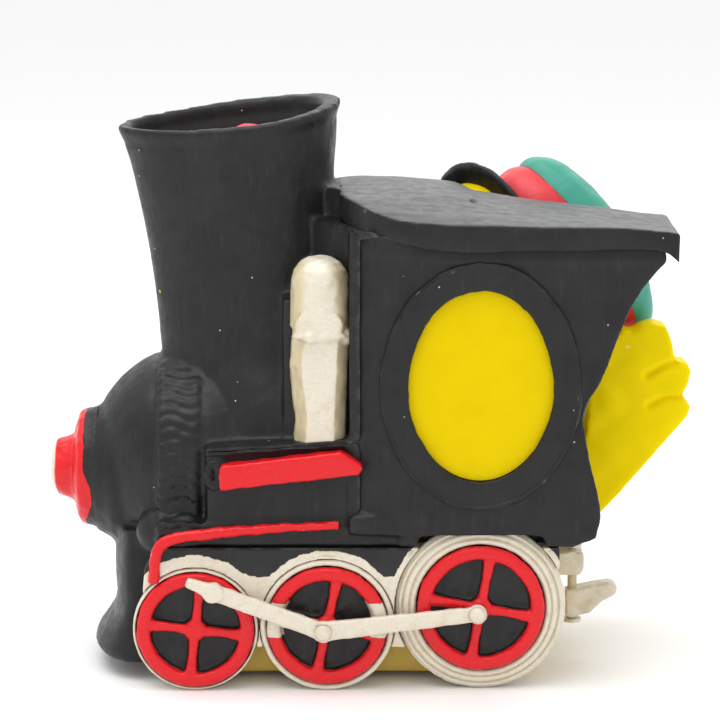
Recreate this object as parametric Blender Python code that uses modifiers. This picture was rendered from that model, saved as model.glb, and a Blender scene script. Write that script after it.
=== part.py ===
"""Toy train locomotive: an assembly of separate pieces.

Metres, +Z up. The front of the locomotive faces -X and its near side faces -Y. The dimensions below are in
millimetres from the datum, a point on the ground under the rear of the chimney. The datum is placed so that the
world origin is the centre of the whole model's footprint.
"""

import math

import bmesh
import bpy
import numpy as np
from mathutils import Matrix, Vector

MM = 0.001
DATUM_X = -2.3

# Running gear. Each wheel: centre X, tyre radius (also its height over the ground), spoked radius, spoke turn.
WHEELS = {
    "front": {"x": -33.6, "tyre": 12.8, "rim": 12.0, "turn": 6.5},
    "middle": {"x": -6.7, "tyre": 13.7, "rim": 12.3, "turn": 12.0},
    "rear": {"x": 24.6, "tyre": 17.4, "rim": 13.0, "turn": 10.0},
}
SIDES = {"near": -1, "far": 1}
TYRE_BACK = 23.8
TYRE_FACE = 27.6
STEP_FACE = 25.8
WHEEL_FACE = 28.5
RIM_WIDTH = 3.1
SPOKE_WIDTH = 2.6
AXLE_RADIUS = 1.6
CLEARANCE = 0.3

# The crank pins sit this far from the wheel centres, towards the front and down.
CRANK = (-0.8, -0.5)
PIN_RADIUS = 1.0
PIN_HEAD = 1.9
ROD_BACK = 29.2
ROD_FACE = 30.8
ROD_WIDTH = 3.4

# Frame.
FRAME_HALF = 20.0
FRAME_BOTTOM = 1.4
FRAME_TOP = 29.8
FRAME_FRONT = -41.4
FRAME_REAR = 42.2
PLATE_INNER = 20.3
PLATE_OUTER = 23.5
SKIRT_OUTER = 26.2
FOOTPLATE_BOTTOM = 30.1
FOOTPLATE_TOP = 35.0

# Boiler.
BOILER_AXIS = 43.5
BOILER_RADIUS = 21.7
BAND_RADIUS = 22.0
DOME_RADIUS = 23.4
DOME_CENTRE_X = -33.5
LAMP_AXIS = 40.5

# Cab.
CAB_FRONT = -2.1
WALL_INNER = 26.6
WALL_OUTER = 28.1
WINDOW = (24.2, 63.5)
WINDOW_OUTER = (20.3, 25.7)
WINDOW_INNER = (14.5, 19.2)

# Driver's head and cap.
HEAD_CENTRE = (27.0, 15.0, 87.6)
HEAD_RADIUS = 12.3
CAP_CENTRE = (29.0, 15.0, 93.0)
CAP_NORMAL = (0.73, 0.40, 0.55)

# Drawhook.
HOOK_PIVOT_X = 45.2


def new_collection(name):
    collection = bpy.data.collections.new(name)
    bpy.context.scene.collection.children.link(collection)
    return collection


def clear_scene():
    for obj in list(bpy.data.objects):
        bpy.data.objects.remove(obj, do_unlink=True)


def finish(name, colour, roughness, metallic=0.0):
    """A painted finish."""
    material = bpy.data.materials.new(name)
    material.use_nodes = True
    shader = material.node_tree.nodes["Principled BSDF"]
    shader.inputs["Base Color"].default_value = (*colour, 1.0)
    shader.inputs["Roughness"].default_value = roughness
    shader.inputs["Metallic"].default_value = metallic
    return material


clear_scene()
PARTS = new_collection("toy_train_locomotive")
CUTTERS = new_collection("cutters")
CUTTERS.hide_render = True

BLACK = finish("black_paint", (0.035, 0.035, 0.038), 0.45)
RED = finish("red_paint", (0.72, 0.015, 0.02), 0.3)
SILVER = finish("pearl_silver_paint", (0.72, 0.69, 0.61), 0.35, 0.4)
YELLOW = finish("yellow_rubber", (0.82, 0.66, 0.0), 0.45)
GREEN = finish("green_paint", (0.03, 0.36, 0.27), 0.4)
ORANGE = finish("orange_paint", (0.85, 0.25, 0.02), 0.4)
STEEL = finish("steel", (0.5, 0.5, 0.5), 0.35, 1.0)


def empty(name, location_mm, parent=None):
    obj = bpy.data.objects.new(name, None)
    PARTS.objects.link(obj)
    obj.parent = parent
    obj.location = Vector(location_mm) * MM
    return obj


DATUM = empty("datum", (DATUM_X, 0.0, 0.0))


def add_piece(name, mesh, material, parent=DATUM, location_mm=(0, 0, 0), rotation=(0, 0, 0)):
    """Puts a mesh in the parts collection as one named piece."""
    obj = bpy.data.objects.new(name, mesh)
    PARTS.objects.link(obj)
    mesh.materials.clear()
    mesh.materials.append(material)
    obj.parent = parent
    obj.location = Vector(location_mm) * MM
    obj.rotation_euler = [math.radians(angle) for angle in rotation]
    return obj


def add_cutter(name, mesh, parent=DATUM, location_mm=(0, 0, 0), rotation=(0, 0, 0)):
    """A helper solid that Booleans use. It isn't part of the toy."""
    obj = bpy.data.objects.new(name, mesh)
    CUTTERS.objects.link(obj)
    obj.hide_render = True
    obj.display_type = "WIRE"
    obj.parent = parent
    obj.location = Vector(location_mm) * MM
    obj.rotation_euler = [math.radians(angle) for angle in rotation]
    return obj


def combine(piece, helper, operation):
    modifier = piece.modifiers.new(helper.name, "BOOLEAN")
    modifier.operation = operation
    modifier.solver = "EXACT"
    modifier.object = helper


def evaluated_mesh(obj):
    bpy.context.view_layer.update()
    graph = bpy.context.evaluated_depsgraph_get()
    return bpy.data.meshes.new_from_object(obj.evaluated_get(graph))


def mesh_from(build):
    """A mesh that the function build fills through bmesh."""
    mesh = bpy.data.meshes.new("mesh")
    bm = bmesh.new()
    build(bm)
    bmesh.ops.recalc_face_normals(bm, faces=bm.faces)
    bm.to_mesh(mesh)
    bm.free()
    return mesh


def smooth(mesh, angle=40.0):
    mesh.shade_smooth()
    mesh.set_sharp_from_angle(angle=math.radians(angle))
    return mesh


def box_mesh(low, high):
    size = [(b - a) * MM for a, b in zip(low, high)]
    centre = [(a + b) / 2 * MM for a, b in zip(low, high)]

    def build(bm):
        matrix = Matrix.Translation(centre) @ Matrix.Diagonal((*size, 1.0))
        bmesh.ops.create_cube(bm, size=1.0, matrix=matrix)

    return mesh_from(build)


def cylinder_mesh(radius, low, high, sides=32):
    """A cylinder along its own Z axis, from low to high."""

    def build(bm):
        bmesh.ops.create_cone(
            bm,
            cap_ends=True,
            segments=sides,
            radius1=radius * MM,
            radius2=radius * MM,
            depth=(high - low) * MM,
            matrix=Matrix.Translation((0, 0, (low + high) / 2 * MM)),
        )

    return smooth(mesh_from(build))


def ball_mesh(radii, columns=28, rows=16):
    def build(bm):
        scale = Matrix.Diagonal((*[radius * MM for radius in radii], 1.0))
        bmesh.ops.create_uvsphere(bm, u_segments=columns, v_segments=rows, radius=1.0, matrix=scale)

    return smooth(mesh_from(build))


def extruded_mesh(outlines, low, high):
    """A flat outline, with any further outlines as holes, made solid along its own Z from low to high."""
    curve = bpy.data.curves.new("outline", "CURVE")
    curve.dimensions = "2D"
    curve.fill_mode = "BOTH"
    curve.extrude = (high - low) / 2 * MM
    for outline in outlines:
        spline = curve.splines.new("POLY")
        spline.points.add(len(outline) - 1)
        for point, (x, y) in zip(spline.points, outline):
            point.co = (x * MM, y * MM, 0.0, 1.0)
        spline.use_cyclic_u = True
    holder = bpy.data.objects.new("outline", curve)
    CUTTERS.objects.link(holder)
    mesh = evaluated_mesh(holder)
    bpy.data.objects.remove(holder, do_unlink=True)
    bm = bmesh.new()
    bm.from_mesh(mesh)
    bmesh.ops.remove_doubles(bm, verts=bm.verts, dist=0.00001)
    bmesh.ops.translate(bm, verts=bm.verts, vec=(0, 0, (low + high) / 2 * MM))
    bmesh.ops.recalc_face_normals(bm, faces=bm.faces)
    bm.to_mesh(mesh)
    bm.free()
    return mesh


def upright_plate(outlines, y_low, y_high):
    """A plate in the XZ plane between two Y values."""
    mesh = extruded_mesh(outlines, -y_high, -y_low)
    mesh.transform(Matrix.Rotation(math.radians(90), 4, "X"))
    return mesh


def cross_plate(outline, x_low, x_high):
    """A prism along X whose outline is in the YZ plane."""
    mesh = extruded_mesh([outline], x_low, x_high)
    mesh.transform(Matrix(((0, 0, 1, 0), (1, 0, 0, 0), (0, 1, 0, 0), (0, 0, 0, 1))))
    return mesh


def loft_mesh(rings):
    """A closed body through rings of equally many points, with a flat cap at each end."""

    def build(bm):
        rows = [[bm.verts.new(Vector(point) * MM) for point in ring] for ring in rings]
        count = len(rows[0])
        for lower, upper in zip(rows, rows[1:]):
            for i in range(count):
                j = (i + 1) % count
                bm.faces.new((lower[i], lower[j], upper[j], upper[i]))
        bm.faces.new(reversed(rows[0]))
        bm.faces.new(rows[-1])

    return smooth(mesh_from(build), 50.0)


def turned(name, profile, material, steps, **place):
    """A turned piece: profile is (radius, height) from the top down its outer side."""
    mesh = bpy.data.meshes.new(name)
    points = [(radius * MM, 0.0, height * MM) for radius, height in profile]
    closed = profile[0] == profile[-1]
    if closed:
        points = points[:-1]
    edges = [(i, i + 1) for i in range(len(points) - 1)]
    if closed:
        edges.append((len(points) - 1, 0))
    mesh.from_pydata(points, edges, [])
    obj = add_piece(name, mesh, material, **place)
    screw = obj.modifiers.new("turn", "SCREW")
    screw.steps = steps
    screw.render_steps = steps
    screw.use_merge_vertices = True
    screw.merge_threshold = 0.00001
    return obj


def baked(obj):
    """The object with its modifiers applied, and the helpers that they used removed."""
    mesh = evaluated_mesh(obj)
    helpers = [modifier.object for modifier in obj.modifiers if modifier.type == "BOOLEAN"]
    bpy.data.objects.remove(obj, do_unlink=True)
    for helper in helpers:
        bpy.data.objects.remove(helper, do_unlink=True)
    return mesh


def ellipse(centre, radii, count=40, start=0.0, end=360.0):
    angles = np.radians(np.linspace(start, end, count, endpoint=abs(end - start) < 360.0))
    return [(centre[0] + radii[0] * math.cos(a), centre[1] + radii[1] * math.sin(a)) for a in angles]


# Running gear


def wheel_mesh(wheel):
    """A spoked wheel centre with its back at the tyre's back. Its own Z points outwards."""
    back = 0.3
    web = 2.4
    face = WHEEL_FACE - TYRE_BACK
    hole = wheel["rim"] - RIM_WIDTH
    profile = [(0, web), (hole, web), (hole, face), (wheel["rim"], face), (wheel["rim"], back), (0, back)]
    centre = turned("wheel_blank", profile, RED, steps=32)
    for turn in (wheel["turn"], wheel["turn"] + 90.0):
        low = (-hole - 0.8, -SPOKE_WIDTH / 2, web - 0.8)
        high = (hole + 0.8, SPOKE_WIDTH / 2, face - 0.2)
        combine(centre, add_cutter("spoke", box_mesh(low, high), rotation=(0, 0, -turn)), "UNION")
    combine(centre, add_cutter("hub", cylinder_mesh(2.9, web - 0.8, face, 16)), "UNION")
    combine(centre, add_cutter("socket", cylinder_mesh(AXLE_RADIUS + CLEARANCE, -1.0, 2.0, 16)), "DIFFERENCE")
    return baked(centre)


def tyre_profile(name, wheel):
    """Closed profile of a tyre round its wheel centre. The rear tyre is stepped."""
    outer = wheel["tyre"]
    inner = wheel["rim"] + CLEARANCE
    if name == "rear":
        step = inner + 1.3
        top = [(inner, TYRE_FACE), (step, TYRE_FACE), (step, STEP_FACE), (outer, STEP_FACE)]
    else:
        top = [(inner, TYRE_FACE), (outer - 0.3, TYRE_FACE), (outer, TYRE_FACE - 0.3)]
    loop = top + [(outer, TYRE_BACK), (inner, TYRE_BACK)]
    lowered = [(radius, height - TYRE_BACK) for radius, height in loop]
    return lowered + lowered[:1]


def side_turn(side):
    """Rotation that points a piece's own Z outwards on its side."""
    return (90, 0, 0) if side < 0 else (-90, 0, 0)


def build_wheelset(name, wheel):
    axle = empty(f"wheelset_{name}", (wheel["x"], 0, wheel["tyre"]), DATUM)
    reach = TYRE_BACK + 1.4
    add_piece(f"axle_{name}", cylinder_mesh(AXLE_RADIUS, -reach, reach, 16), STEEL, axle, rotation=(90, 0, 0))
    centre_mesh = smooth(wheel_mesh(wheel))
    for side_name, side in SIDES.items():
        mesh = centre_mesh.copy()
        if side > 0:
            mesh.transform(Matrix.Diagonal((1.0, -1.0, 1.0, 1.0)))
            mesh.flip_normals()
        place = {
            "parent": axle,
            "location_mm": (0, side * TYRE_BACK, 0),
            "rotation": side_turn(side),
        }
        add_piece(f"wheel_{name}_{side_name}", mesh, RED, **place)
        turned(f"tyre_{name}_{side_name}", tyre_profile(name, wheel), SILVER, steps=40, **place)
        if name == "front":
            continue
        start = WHEEL_FACE + CLEARANCE - TYRE_BACK
        under_head = ROD_FACE + CLEARANCE - TYRE_BACK
        top = under_head + 0.9
        pin = [
            (0, top),
            (PIN_HEAD - 0.5, top),
            (PIN_HEAD, top - 0.4),
            (PIN_HEAD, under_head),
            (PIN_RADIUS, under_head),
            (PIN_RADIUS, start),
            (0, start),
        ]
        place["location_mm"] = (CRANK[0], side * TYRE_BACK, CRANK[1])
        turned(f"crank_pin_{name}_{side_name}", pin, SILVER, steps=14, **place)
    return axle


def rod_outline(middle, rear, tip):
    """A bent bar with a rounded boss at each pin: from the tip over the front wheel to the rear crank pin."""
    front_half = ROD_WIDTH / 2
    rear_half = ROD_WIDTH / 2 - 0.1
    boss = 2.1
    front_dir = (Vector(tip) - Vector(middle)).normalized()
    rear_dir = (Vector(rear) - Vector(middle)).normalized()
    front_side = Vector((-front_dir.y, front_dir.x))
    rear_side = Vector((-rear_dir.y, rear_dir.x))

    def arc(centre, radius, start, end, count):
        return ellipse(centre, (radius, radius), count, start, end)

    front_angle = math.degrees(math.atan2(front_dir.y, front_dir.x))
    rear_angle = math.degrees(math.atan2(rear_dir.y, rear_dir.x))
    outline = []
    outline += arc(rear, boss, rear_angle - 125, rear_angle + 125, 14)
    outline.append(tuple(Vector(middle) + rear_dir * 1.6 + rear_side * rear_half))
    outline.append(tuple(Vector(middle) + front_dir * 1.6 - front_side * front_half))
    outline += arc(tip, front_half * 0.8, front_angle - 80, front_angle + 80, 8)
    outline.append(tuple(Vector(middle) + front_dir * 2.0 + front_side * front_half))
    outline += arc(middle, boss, front_angle + 75, rear_angle + 360 - 75, 8)
    outline.append(tuple(Vector(middle) + rear_dir * 2.0 - rear_side * rear_half))
    return outline


def build_side_rods(wheelset):
    """One rod on each side, which the two crank pins carry. Its own origin is on the middle crank pin."""
    middle = WHEELS["middle"]
    rear = WHEELS["rear"]
    rear_eye = (rear["x"] - middle["x"], rear["tyre"] - middle["tyre"])
    tip = (-27.3, 10.2)
    hole = PIN_RADIUS + CLEARANCE
    outlines = [
        rod_outline((0, 0), rear_eye, tip),
        ellipse((0, 0), (hole, hole), 14),
        ellipse(rear_eye, (hole, hole), 14),
    ]
    for side_name, side in SIDES.items():
        y_low, y_high = sorted((side * ROD_BACK, side * ROD_FACE))
        mesh = upright_plate(outlines, y_low, y_high)
        rod = add_piece(f"side_rod_{side_name}", mesh, SILVER, wheelset, (CRANK[0], 0, CRANK[1]))
        boss = cylinder_mesh(1.9, ROD_FACE - 0.4, ROD_FACE + 0.9, 14)
        boss_place = (CRANK[0] - 22.3, 0, CRANK[1] + 8.3)
        turn = side_turn(side)
        combine(rod, add_cutter(f"rod_boss_{side_name}", boss, wheelset, boss_place, turn), "UNION")


# Frame


def frame_outline():
    """Side outline of the base: flat below, with its ends curved up inside the circles of the end wheels."""

    def end_curve(wheel, end_x):
        """Points from the flat bottom outwards to the end, on a circle 0.5 mm inside the tyre's."""
        centre_x, height = wheel["x"], wheel["tyre"]
        radius = height - 0.5
        way = 1 if end_x > centre_x else -1
        start = math.acos((height - FRAME_BOTTOM) / radius)
        end = math.asin(min(abs(end_x - centre_x) / radius, 0.999))
        angles = [start + (end - start) * i / 8 for i in range(9)]
        return [(centre_x + way * radius * math.sin(a), height - radius * math.cos(a)) for a in angles]

    rear = end_curve(WHEELS["rear"], FRAME_REAR)
    front = end_curve(WHEELS["front"], FRAME_FRONT)
    top = [(FRAME_REAR, rear[-1][1]), (FRAME_REAR, FRAME_TOP), (FRAME_FRONT, FRAME_TOP)]
    return rear + top + front[::-1]


def build_underframe():
    frame = add_piece("underframe", upright_plate([frame_outline()], -FRAME_HALF, FRAME_HALF), YELLOW)
    for name, wheel in WHEELS.items():
        bore = cylinder_mesh(AXLE_RADIUS + 0.2, -FRAME_HALF - 5, FRAME_HALF + 5, 16)
        place = (wheel["x"], 0, wheel["tyre"])
        combine(frame, add_cutter(f"axle_bore_{name}", bore, DATUM, place, (90, 0, 0)), "DIFFERENCE")


def side_frame_outline():
    """Plate behind the wheels: it follows each wheel below, with a web between neighbours."""
    lower = []
    web_bottom = 7.0
    inset = 0.5
    for x in np.linspace(-45.6, 40.8, 37):
        heights = []
        for wheel in WHEELS.values():
            radius = wheel["tyre"] - inset
            offset = x - wheel["x"]
            if abs(offset) < radius:
                heights.append(wheel["tyre"] - math.sqrt(radius**2 - offset**2))
        inside = WHEELS["front"]["x"] < x < WHEELS["rear"]["x"]
        if inside:
            heights.append(web_bottom)
        if heights:
            lower.append((float(x), min(heights)))
    upper = [(40.8, FRAME_TOP), (-40.0, FRAME_TOP), (-44.2, 24.5)]
    return lower + upper


def build_side_frames():
    """Plate behind the wheels, with a skirt that comes forward round them."""
    for side_name, side in SIDES.items():
        y_low, y_high = sorted((side * PLATE_INNER, side * PLATE_OUTER))
        outlines = [side_frame_outline()]
        for wheel in WHEELS.values():
            hole = AXLE_RADIUS + 0.2
            outlines.append(ellipse((wheel["x"], wheel["tyre"]), (hole, hole), 16))
        plate = add_piece(f"side_frame_{side_name}", upright_plate(outlines, y_low, y_high), SILVER)
        y_low, y_high = sorted((side * (PLATE_OUTER - 1.0), side * SKIRT_OUTER))
        skirt = add_cutter(f"skirt_{side_name}", upright_plate([side_frame_outline()], y_low, y_high))
        for name, wheel in WHEELS.items():
            radius = wheel["tyre"] + 0.4
            disc = ellipse((wheel["x"], wheel["tyre"]), (radius, radius), 48)
            well = upright_plate([disc], *sorted((side * (PLATE_OUTER - 2.0), side * (SKIRT_OUTER + 1.0))))
            combine(skirt, add_cutter(f"wheel_well_{name}_{side_name}", well), "DIFFERENCE")
        combine(plate, skirt, "UNION")


def build_footplate():
    wide = 25.4
    narrow = 23.2
    shoulder = 10.0
    half = [(FRAME_FRONT, wide), (shoulder, wide), (shoulder, narrow), (46.5, narrow)]
    outline = half + [(x, -y) for x, y in reversed(half)]
    add_piece("footplate", extruded_mesh([outline], FOOTPLATE_BOTTOM, FOOTPLATE_TOP), BLACK)


def build_pilot():
    """Flared skirt under the lamp: half ellipses in plan that grow towards the ground."""
    stations = [
        (26.0, -51.6, 16.5),
        (20.0, -51.7, 17.5),
        (15.0, -51.4, 18.0),
        (11.5, -52.2, 18.6),
        (8.5, -54.2, 19.3),
        (6.0, -56.0, 19.9),
        (4.6, -56.4, 20.0),
        (3.6, -55.6, 19.8),
    ]
    rear_x = -41.8
    rings = []
    for z, front_x, half in reversed(stations):
        depth = rear_x - front_x
        arc = ellipse((0, 0), (1, 1), 24, 90, 270)
        rings.append([(rear_x + depth * abs(c) ** 0.8 * -1, half * s, z) for c, s in arc])
    add_piece("pilot", loft_mesh(rings), BLACK)


# Boiler


def arch_outline(radius, bottom, teeth=0, depth=0.0):
    """Half round over straight sides, in the YZ plane. The teeth are ridges along the outline."""
    count = 4 * teeth if teeth else 32
    points = []
    for i in range(count + 1):
        angle = math.pi * i / count
        ridge = depth * math.cos(i * math.pi * teeth * 2 / count) if teeth else 0.0
        reach = radius + ridge
        points.append((reach * math.cos(angle), BOILER_AXIS + reach * math.sin(angle)))
    return points + [(-radius, bottom), (radius, bottom)]


def build_boiler():
    bottom = FOOTPLATE_TOP + CLEARANCE
    add_piece("boiler", cross_plate(arch_outline(BOILER_RADIUS, bottom), -32.3, CAB_FRONT - CLEARANCE), BLACK)
    band = cross_plate(arch_outline(BAND_RADIUS, bottom, 26, 0.4), -41.4, -32.6)
    add_piece("smokebox_band", band, BLACK)


def build_smokebox_front():
    rear = -41.7
    front = -52.0
    start = math.acos((DOME_CENTRE_X - front) / DOME_RADIUS)
    end = math.acos((DOME_CENTRE_X - rear) / DOME_RADIUS)
    angles = np.linspace(start, end, 8)
    rim = [(DOME_RADIUS * math.sin(a), DOME_RADIUS * math.cos(a)) for a in angles]
    profile = [(0, rim[0][1])] + rim + [(0, rim[-1][1])]
    place = {"location_mm": (DOME_CENTRE_X, 0, BOILER_AXIS), "rotation": (0, -90, 0)}
    dome = turned("smokebox_front", profile, BLACK, steps=36, **place)
    cutter = add_cutter("dome_flat", box_mesh((-70, -40, 0), (-30, 40, 26.3)))
    combine(dome, cutter, "DIFFERENCE")


def build_lamp():
    place = {"location_mm": (0, 0, LAMP_AXIS), "rotation": (0, -90, 0)}
    bracket = [(0, 57.0), (12.2, 57.0), (12.9, 56.0), (13.4, 52.3), (0, 52.3)]
    turned("lamp_bracket", bracket, BLACK, steps=32, **place)
    body = [
        (3.6, 64.0),
        (6.2, 64.0),
        (6.9, 63.2),
        (7.2, 60.4),
        (9.6, 59.6),
        (12.2, 58.6),
        (12.2, 57.3),
        (3.6, 57.3),
        (3.6, 64.0),
    ]
    turned("lamp_body", body, RED, steps=32, **place)
    lens = [(0, 65.2), (2.2, 64.9), (3.3, 64.2), (3.3, 58.0), (0, 58.0)]
    turned("lamp_lens", lens, SILVER, steps=20, **place)


def egg_ring(front_x, rear_x, half_width, z, tilt, count=36):
    """Egg-shaped section, rounder to the rear. The tilt raises it to the rear."""
    middle = (front_x + rear_x) / 2
    radius = (rear_x - front_x) / 2
    ring = []
    for i in range(count):
        angle = 2 * math.pi * i / count
        x = middle + radius * math.cos(angle)
        y = half_width * math.sin(angle) * (1 + 0.22 * math.cos(angle)) / 1.03
        ring.append((x, y, z + tilt * (x - front_x)))
    return ring


def build_chimney():
    # Height at the front, front X, rear X, half width, slope of the section.
    outer = [
        (54.0, -41.0, -2.6, 12.6, 0.0),
        (69.0, -41.8, -2.6, 12.8, 0.0),
        (79.0, -42.6, -2.9, 13.0, 0.01),
        (88.5, -44.1, -4.0, 13.5, 0.03),
        (99.0, -46.1, -5.4, 14.4, 0.07),
        (106.5, -47.7, -4.9, 15.2, 0.10),
        (110.8, -49.2, -4.6, 15.8, 0.115),
        (113.2, -50.0, -4.0, 16.2, 0.118),
    ]
    wall = 2.2
    floor = 100.0
    rings = [egg_ring(front, rear, half, z, tilt) for z, front, rear, half, tilt in outer]
    inner = [(113.2, 0.0), (109.0, 0.6), (floor, 1.6)]
    heights = [row[0] for row in outer]
    for z, extra in inner:
        front, rear, half, tilt = [np.interp(z, heights, [row[i] for row in outer]) for i in (1, 2, 3, 4)]
        if z == floor:
            tilt = 0.0
        inset = wall + extra
        rings.append(egg_ring(front + inset, rear - inset - 0.6, half - inset, z, tilt))
    chimney = add_piece("chimney", loft_mesh(rings), BLACK)
    saddle = cross_plate(arch_outline(BAND_RADIUS + 0.4 + CLEARANCE, 0), -60, 20)
    combine(chimney, add_cutter("chimney_saddle", saddle), "DIFFERENCE")
    ember = ball_mesh((9.5, 7.5, 11.8), 18, 12)
    obj = add_piece("chimney_ember", ember, RED, DATUM, (-23.5, 1.0, floor + CLEARANCE))
    combine(obj, add_cutter("ember_flat", box_mesh((-60, -30, 80), (10, 30, floor + CLEARANCE))), "DIFFERENCE")


def build_boiler_side(side_name, side):
    """Tank, the rail on it, handrail and whistle of one side."""
    y_low, y_high = sorted((side * 22.9, side * 25.8))
    tank = [
        (-31.5, 36.5),
        (-30.3, 35.3),
        (-2.4, 35.3),
        (-2.4, 50.3),
        (-30.0, 48.6),
        (-31.5, 47.2),
    ]
    add_piece(f"side_tank_{side_name}", upright_plate([tank], y_low, y_high), BLACK)
    y_low, y_high = sorted((side * 26.1, side * 28.3))
    rail = [
        (-30.4, 42.3),
        (-29.6, 41.8),
        (-2.4, 44.8),
        (-2.4, 49.4),
        (-29.6, 46.9),
        (-30.4, 46.4),
    ]
    add_piece(f"tank_rail_{side_name}", upright_plate([rail], y_low, y_high), RED)

    route = [(-42.2, 23.4), (-42.0, 27.0), (-40.6, 29.6), (-38.2, 31.0), (-33.2, 32.1), (-14.5, 33.7), (-4.3, 34.3)]
    curve = bpy.data.curves.new("handrail", "CURVE")
    curve.dimensions = "3D"
    curve.bevel_depth = 0.85 * MM
    curve.bevel_resolution = 2
    curve.use_fill_caps = True
    spline = curve.splines.new("POLY")
    spline.points.add(len(route) - 1)
    for point, (x, z) in zip(spline.points, route):
        point.co = (x * MM, side * 27.3 * MM, z * MM, 1.0)
    holder = bpy.data.objects.new("handrail", curve)
    CUTTERS.objects.link(holder)
    mesh = evaluated_mesh(holder)
    bpy.data.objects.remove(holder, do_unlink=True)
    add_piece(f"handrail_{side_name}", smooth(mesh), RED)

    whistle_x = -8.4
    profile = [
        (0, 88.6),
        (2.4, 88.0),
        (4.6, 86.2),
        (5.7, 83.4),
        (6.0, 80.0),
        (6.0, 75.2),
        (4.9, 74.6),
        (4.9, 72.6),
        (6.0, 72.0),
        (6.0, 51.0),
        (0, 51.0),
    ]
    whistle = turned(f"whistle_{side_name}", profile, SILVER, steps=22, location_mm=(whistle_x, side * 20.2, 0))
    saddle = cross_plate(arch_outline(BOILER_RADIUS + CLEARANCE, 0), -30, 20)
    combine(whistle, add_cutter(f"whistle_saddle_{side_name}", saddle), "DIFFERENCE")


# Cab

WALL_REAR_EDGE = [
    (47.8, 32.0),
    (48.8, 36.5),
    (48.1, 41.0),
    (46.6, 47.0),
    (45.3, 53.5),
    (45.2, 57.0),
    (46.0, 60.0),
    (48.0, 63.5),
    (49.5, 67.2),
    (51.8, 74.0),
    (54.0, 79.4),
    (56.4, 83.4),
    (59.4, 87.2),
    (61.0, 88.9),
]


def build_cab():
    floor_bottom = FOOTPLATE_TOP + CLEARANCE
    near_outline = (
        [(CAB_FRONT, 36.0), (13.0, 33.2), (17.0, 32.7), (36.0, 32.7), (43.0, 30.4)]
        + WALL_REAR_EDGE
        + [(60.5, 90.6), (44.0, 90.4), (20.0, 90.0), (7.6, 91.8), (CAB_FRONT, 93.6)]
    )
    hole = [radius + CLEARANCE for radius in WINDOW_INNER]
    near = upright_plate([near_outline, ellipse(WINDOW, hole, 36)], -WALL_OUTER, -WALL_INNER)
    cab = add_piece("cab", near, BLACK)
    far_outline = (
        [(CAB_FRONT, 36.0), (13.0, 33.2), (17.0, 32.7), (36.0, 32.7), (43.0, 30.4)]
        + WALL_REAR_EDGE[:6]
        + [(18.0, 57.0), (13.6, 61.0), (12.4, 66.0), (12.4, 91.0), (7.6, 91.8), (CAB_FRONT, 93.6)]
    )
    far = upright_plate([far_outline], WALL_INNER, WALL_OUTER)
    overlap = WALL_INNER + 0.6
    front = box_mesh((CAB_FRONT, -overlap, 36.0), (CAB_FRONT + 2.4, overlap, 92.0))
    floor = box_mesh((CAB_FRONT, -overlap, floor_bottom + 0.1), (45.0, overlap, floor_bottom + 2.0))
    for name, mesh in {"far_wall": far, "front_wall": front, "floor": floor}.items():
        combine(cab, add_cutter(f"cab_{name}", mesh), "UNION")

    ring_radii = (WINDOW_OUTER, [radius + CLEARANCE for radius in WINDOW_INNER])
    ring = [ellipse(WINDOW, radii, 36) for radii in ring_radii]
    frame_back = WALL_OUTER + CLEARANCE
    add_piece("window_frame_near", upright_plate(ring, -frame_back - 1.1, -frame_back), BLACK)
    panel = upright_plate([ellipse(WINDOW, WINDOW_INNER, 36)], -WALL_OUTER + 0.3, -WALL_INNER)
    add_piece("window_panel_near", panel, YELLOW)


def build_roof():
    """Arched roof with a deep edge band, cut away over the driver."""
    # X, crest height, half width, height of the edge's top and of its bottom.
    stations = [
        (-3.1, 101.4, 15.9, 100.2, 94.9),
        (-0.5, 101.5, 21.9, 99.6, 94.3),
        (3.5, 101.5, 26.5, 98.2, 93.4),
        (9.0, 101.4, 28.7, 97.0, 92.3),
        (20.0, 100.3, 29.3, 96.3, 90.6),
        (33.7, 98.2, 29.3, 96.1, 90.9),
        (44.4, 96.6, 29.3, 96.0, 91.1),
        (53.0, 95.7, 29.3, 95.8, 91.4),
        (60.0, 94.8, 29.1, 95.1, 91.0),
        (63.6, 94.6, 28.3, 94.4, 88.3),
    ]
    thickness = 2.8
    band = 3.0
    steps = 12
    rings = []
    for x, crest, half, edge_top, edge_bottom in stations:
        top = []
        under = []
        for i in range(steps + 1):
            across = -1 + 2 * i / steps
            rise = 1 - abs(across) ** 2.2
            top.append((x, half * across, edge_top + (crest - edge_top) * rise))
            inner_half = half - band
            under_edge = edge_bottom + 0.6
            under_crest = max(crest - thickness, under_edge)
            under.append((x, inner_half * across, under_edge + (under_crest - under_edge) * rise))
        lips = [(x, half, edge_bottom), (x, half - band, edge_bottom)]
        far_lips = [(x, band - half, edge_bottom), (x, -half, edge_bottom)]
        rings.append(top + lips + under[::-1] + far_lips)
    roof = add_piece("cab_roof", loft_mesh(rings), BLACK)
    opening = box_mesh((14.0, -2.0, 80.0), (80.0, 40.0, 110.0))
    combine(roof, add_cutter("roof_opening", opening), "DIFFERENCE")


# Driver


def cap_frame():
    """Rotation and axes of the tilted cap: its own Z is the cap's axis and its X points down the slope."""
    normal = Vector(CAP_NORMAL).normalized()
    slope = Vector((0.578, 0.0, -0.816))
    slope = (slope - normal * slope.dot(normal)).normalized()
    across = normal.cross(slope)
    return Matrix((slope, across, normal)).transposed().to_4x4()


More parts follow.
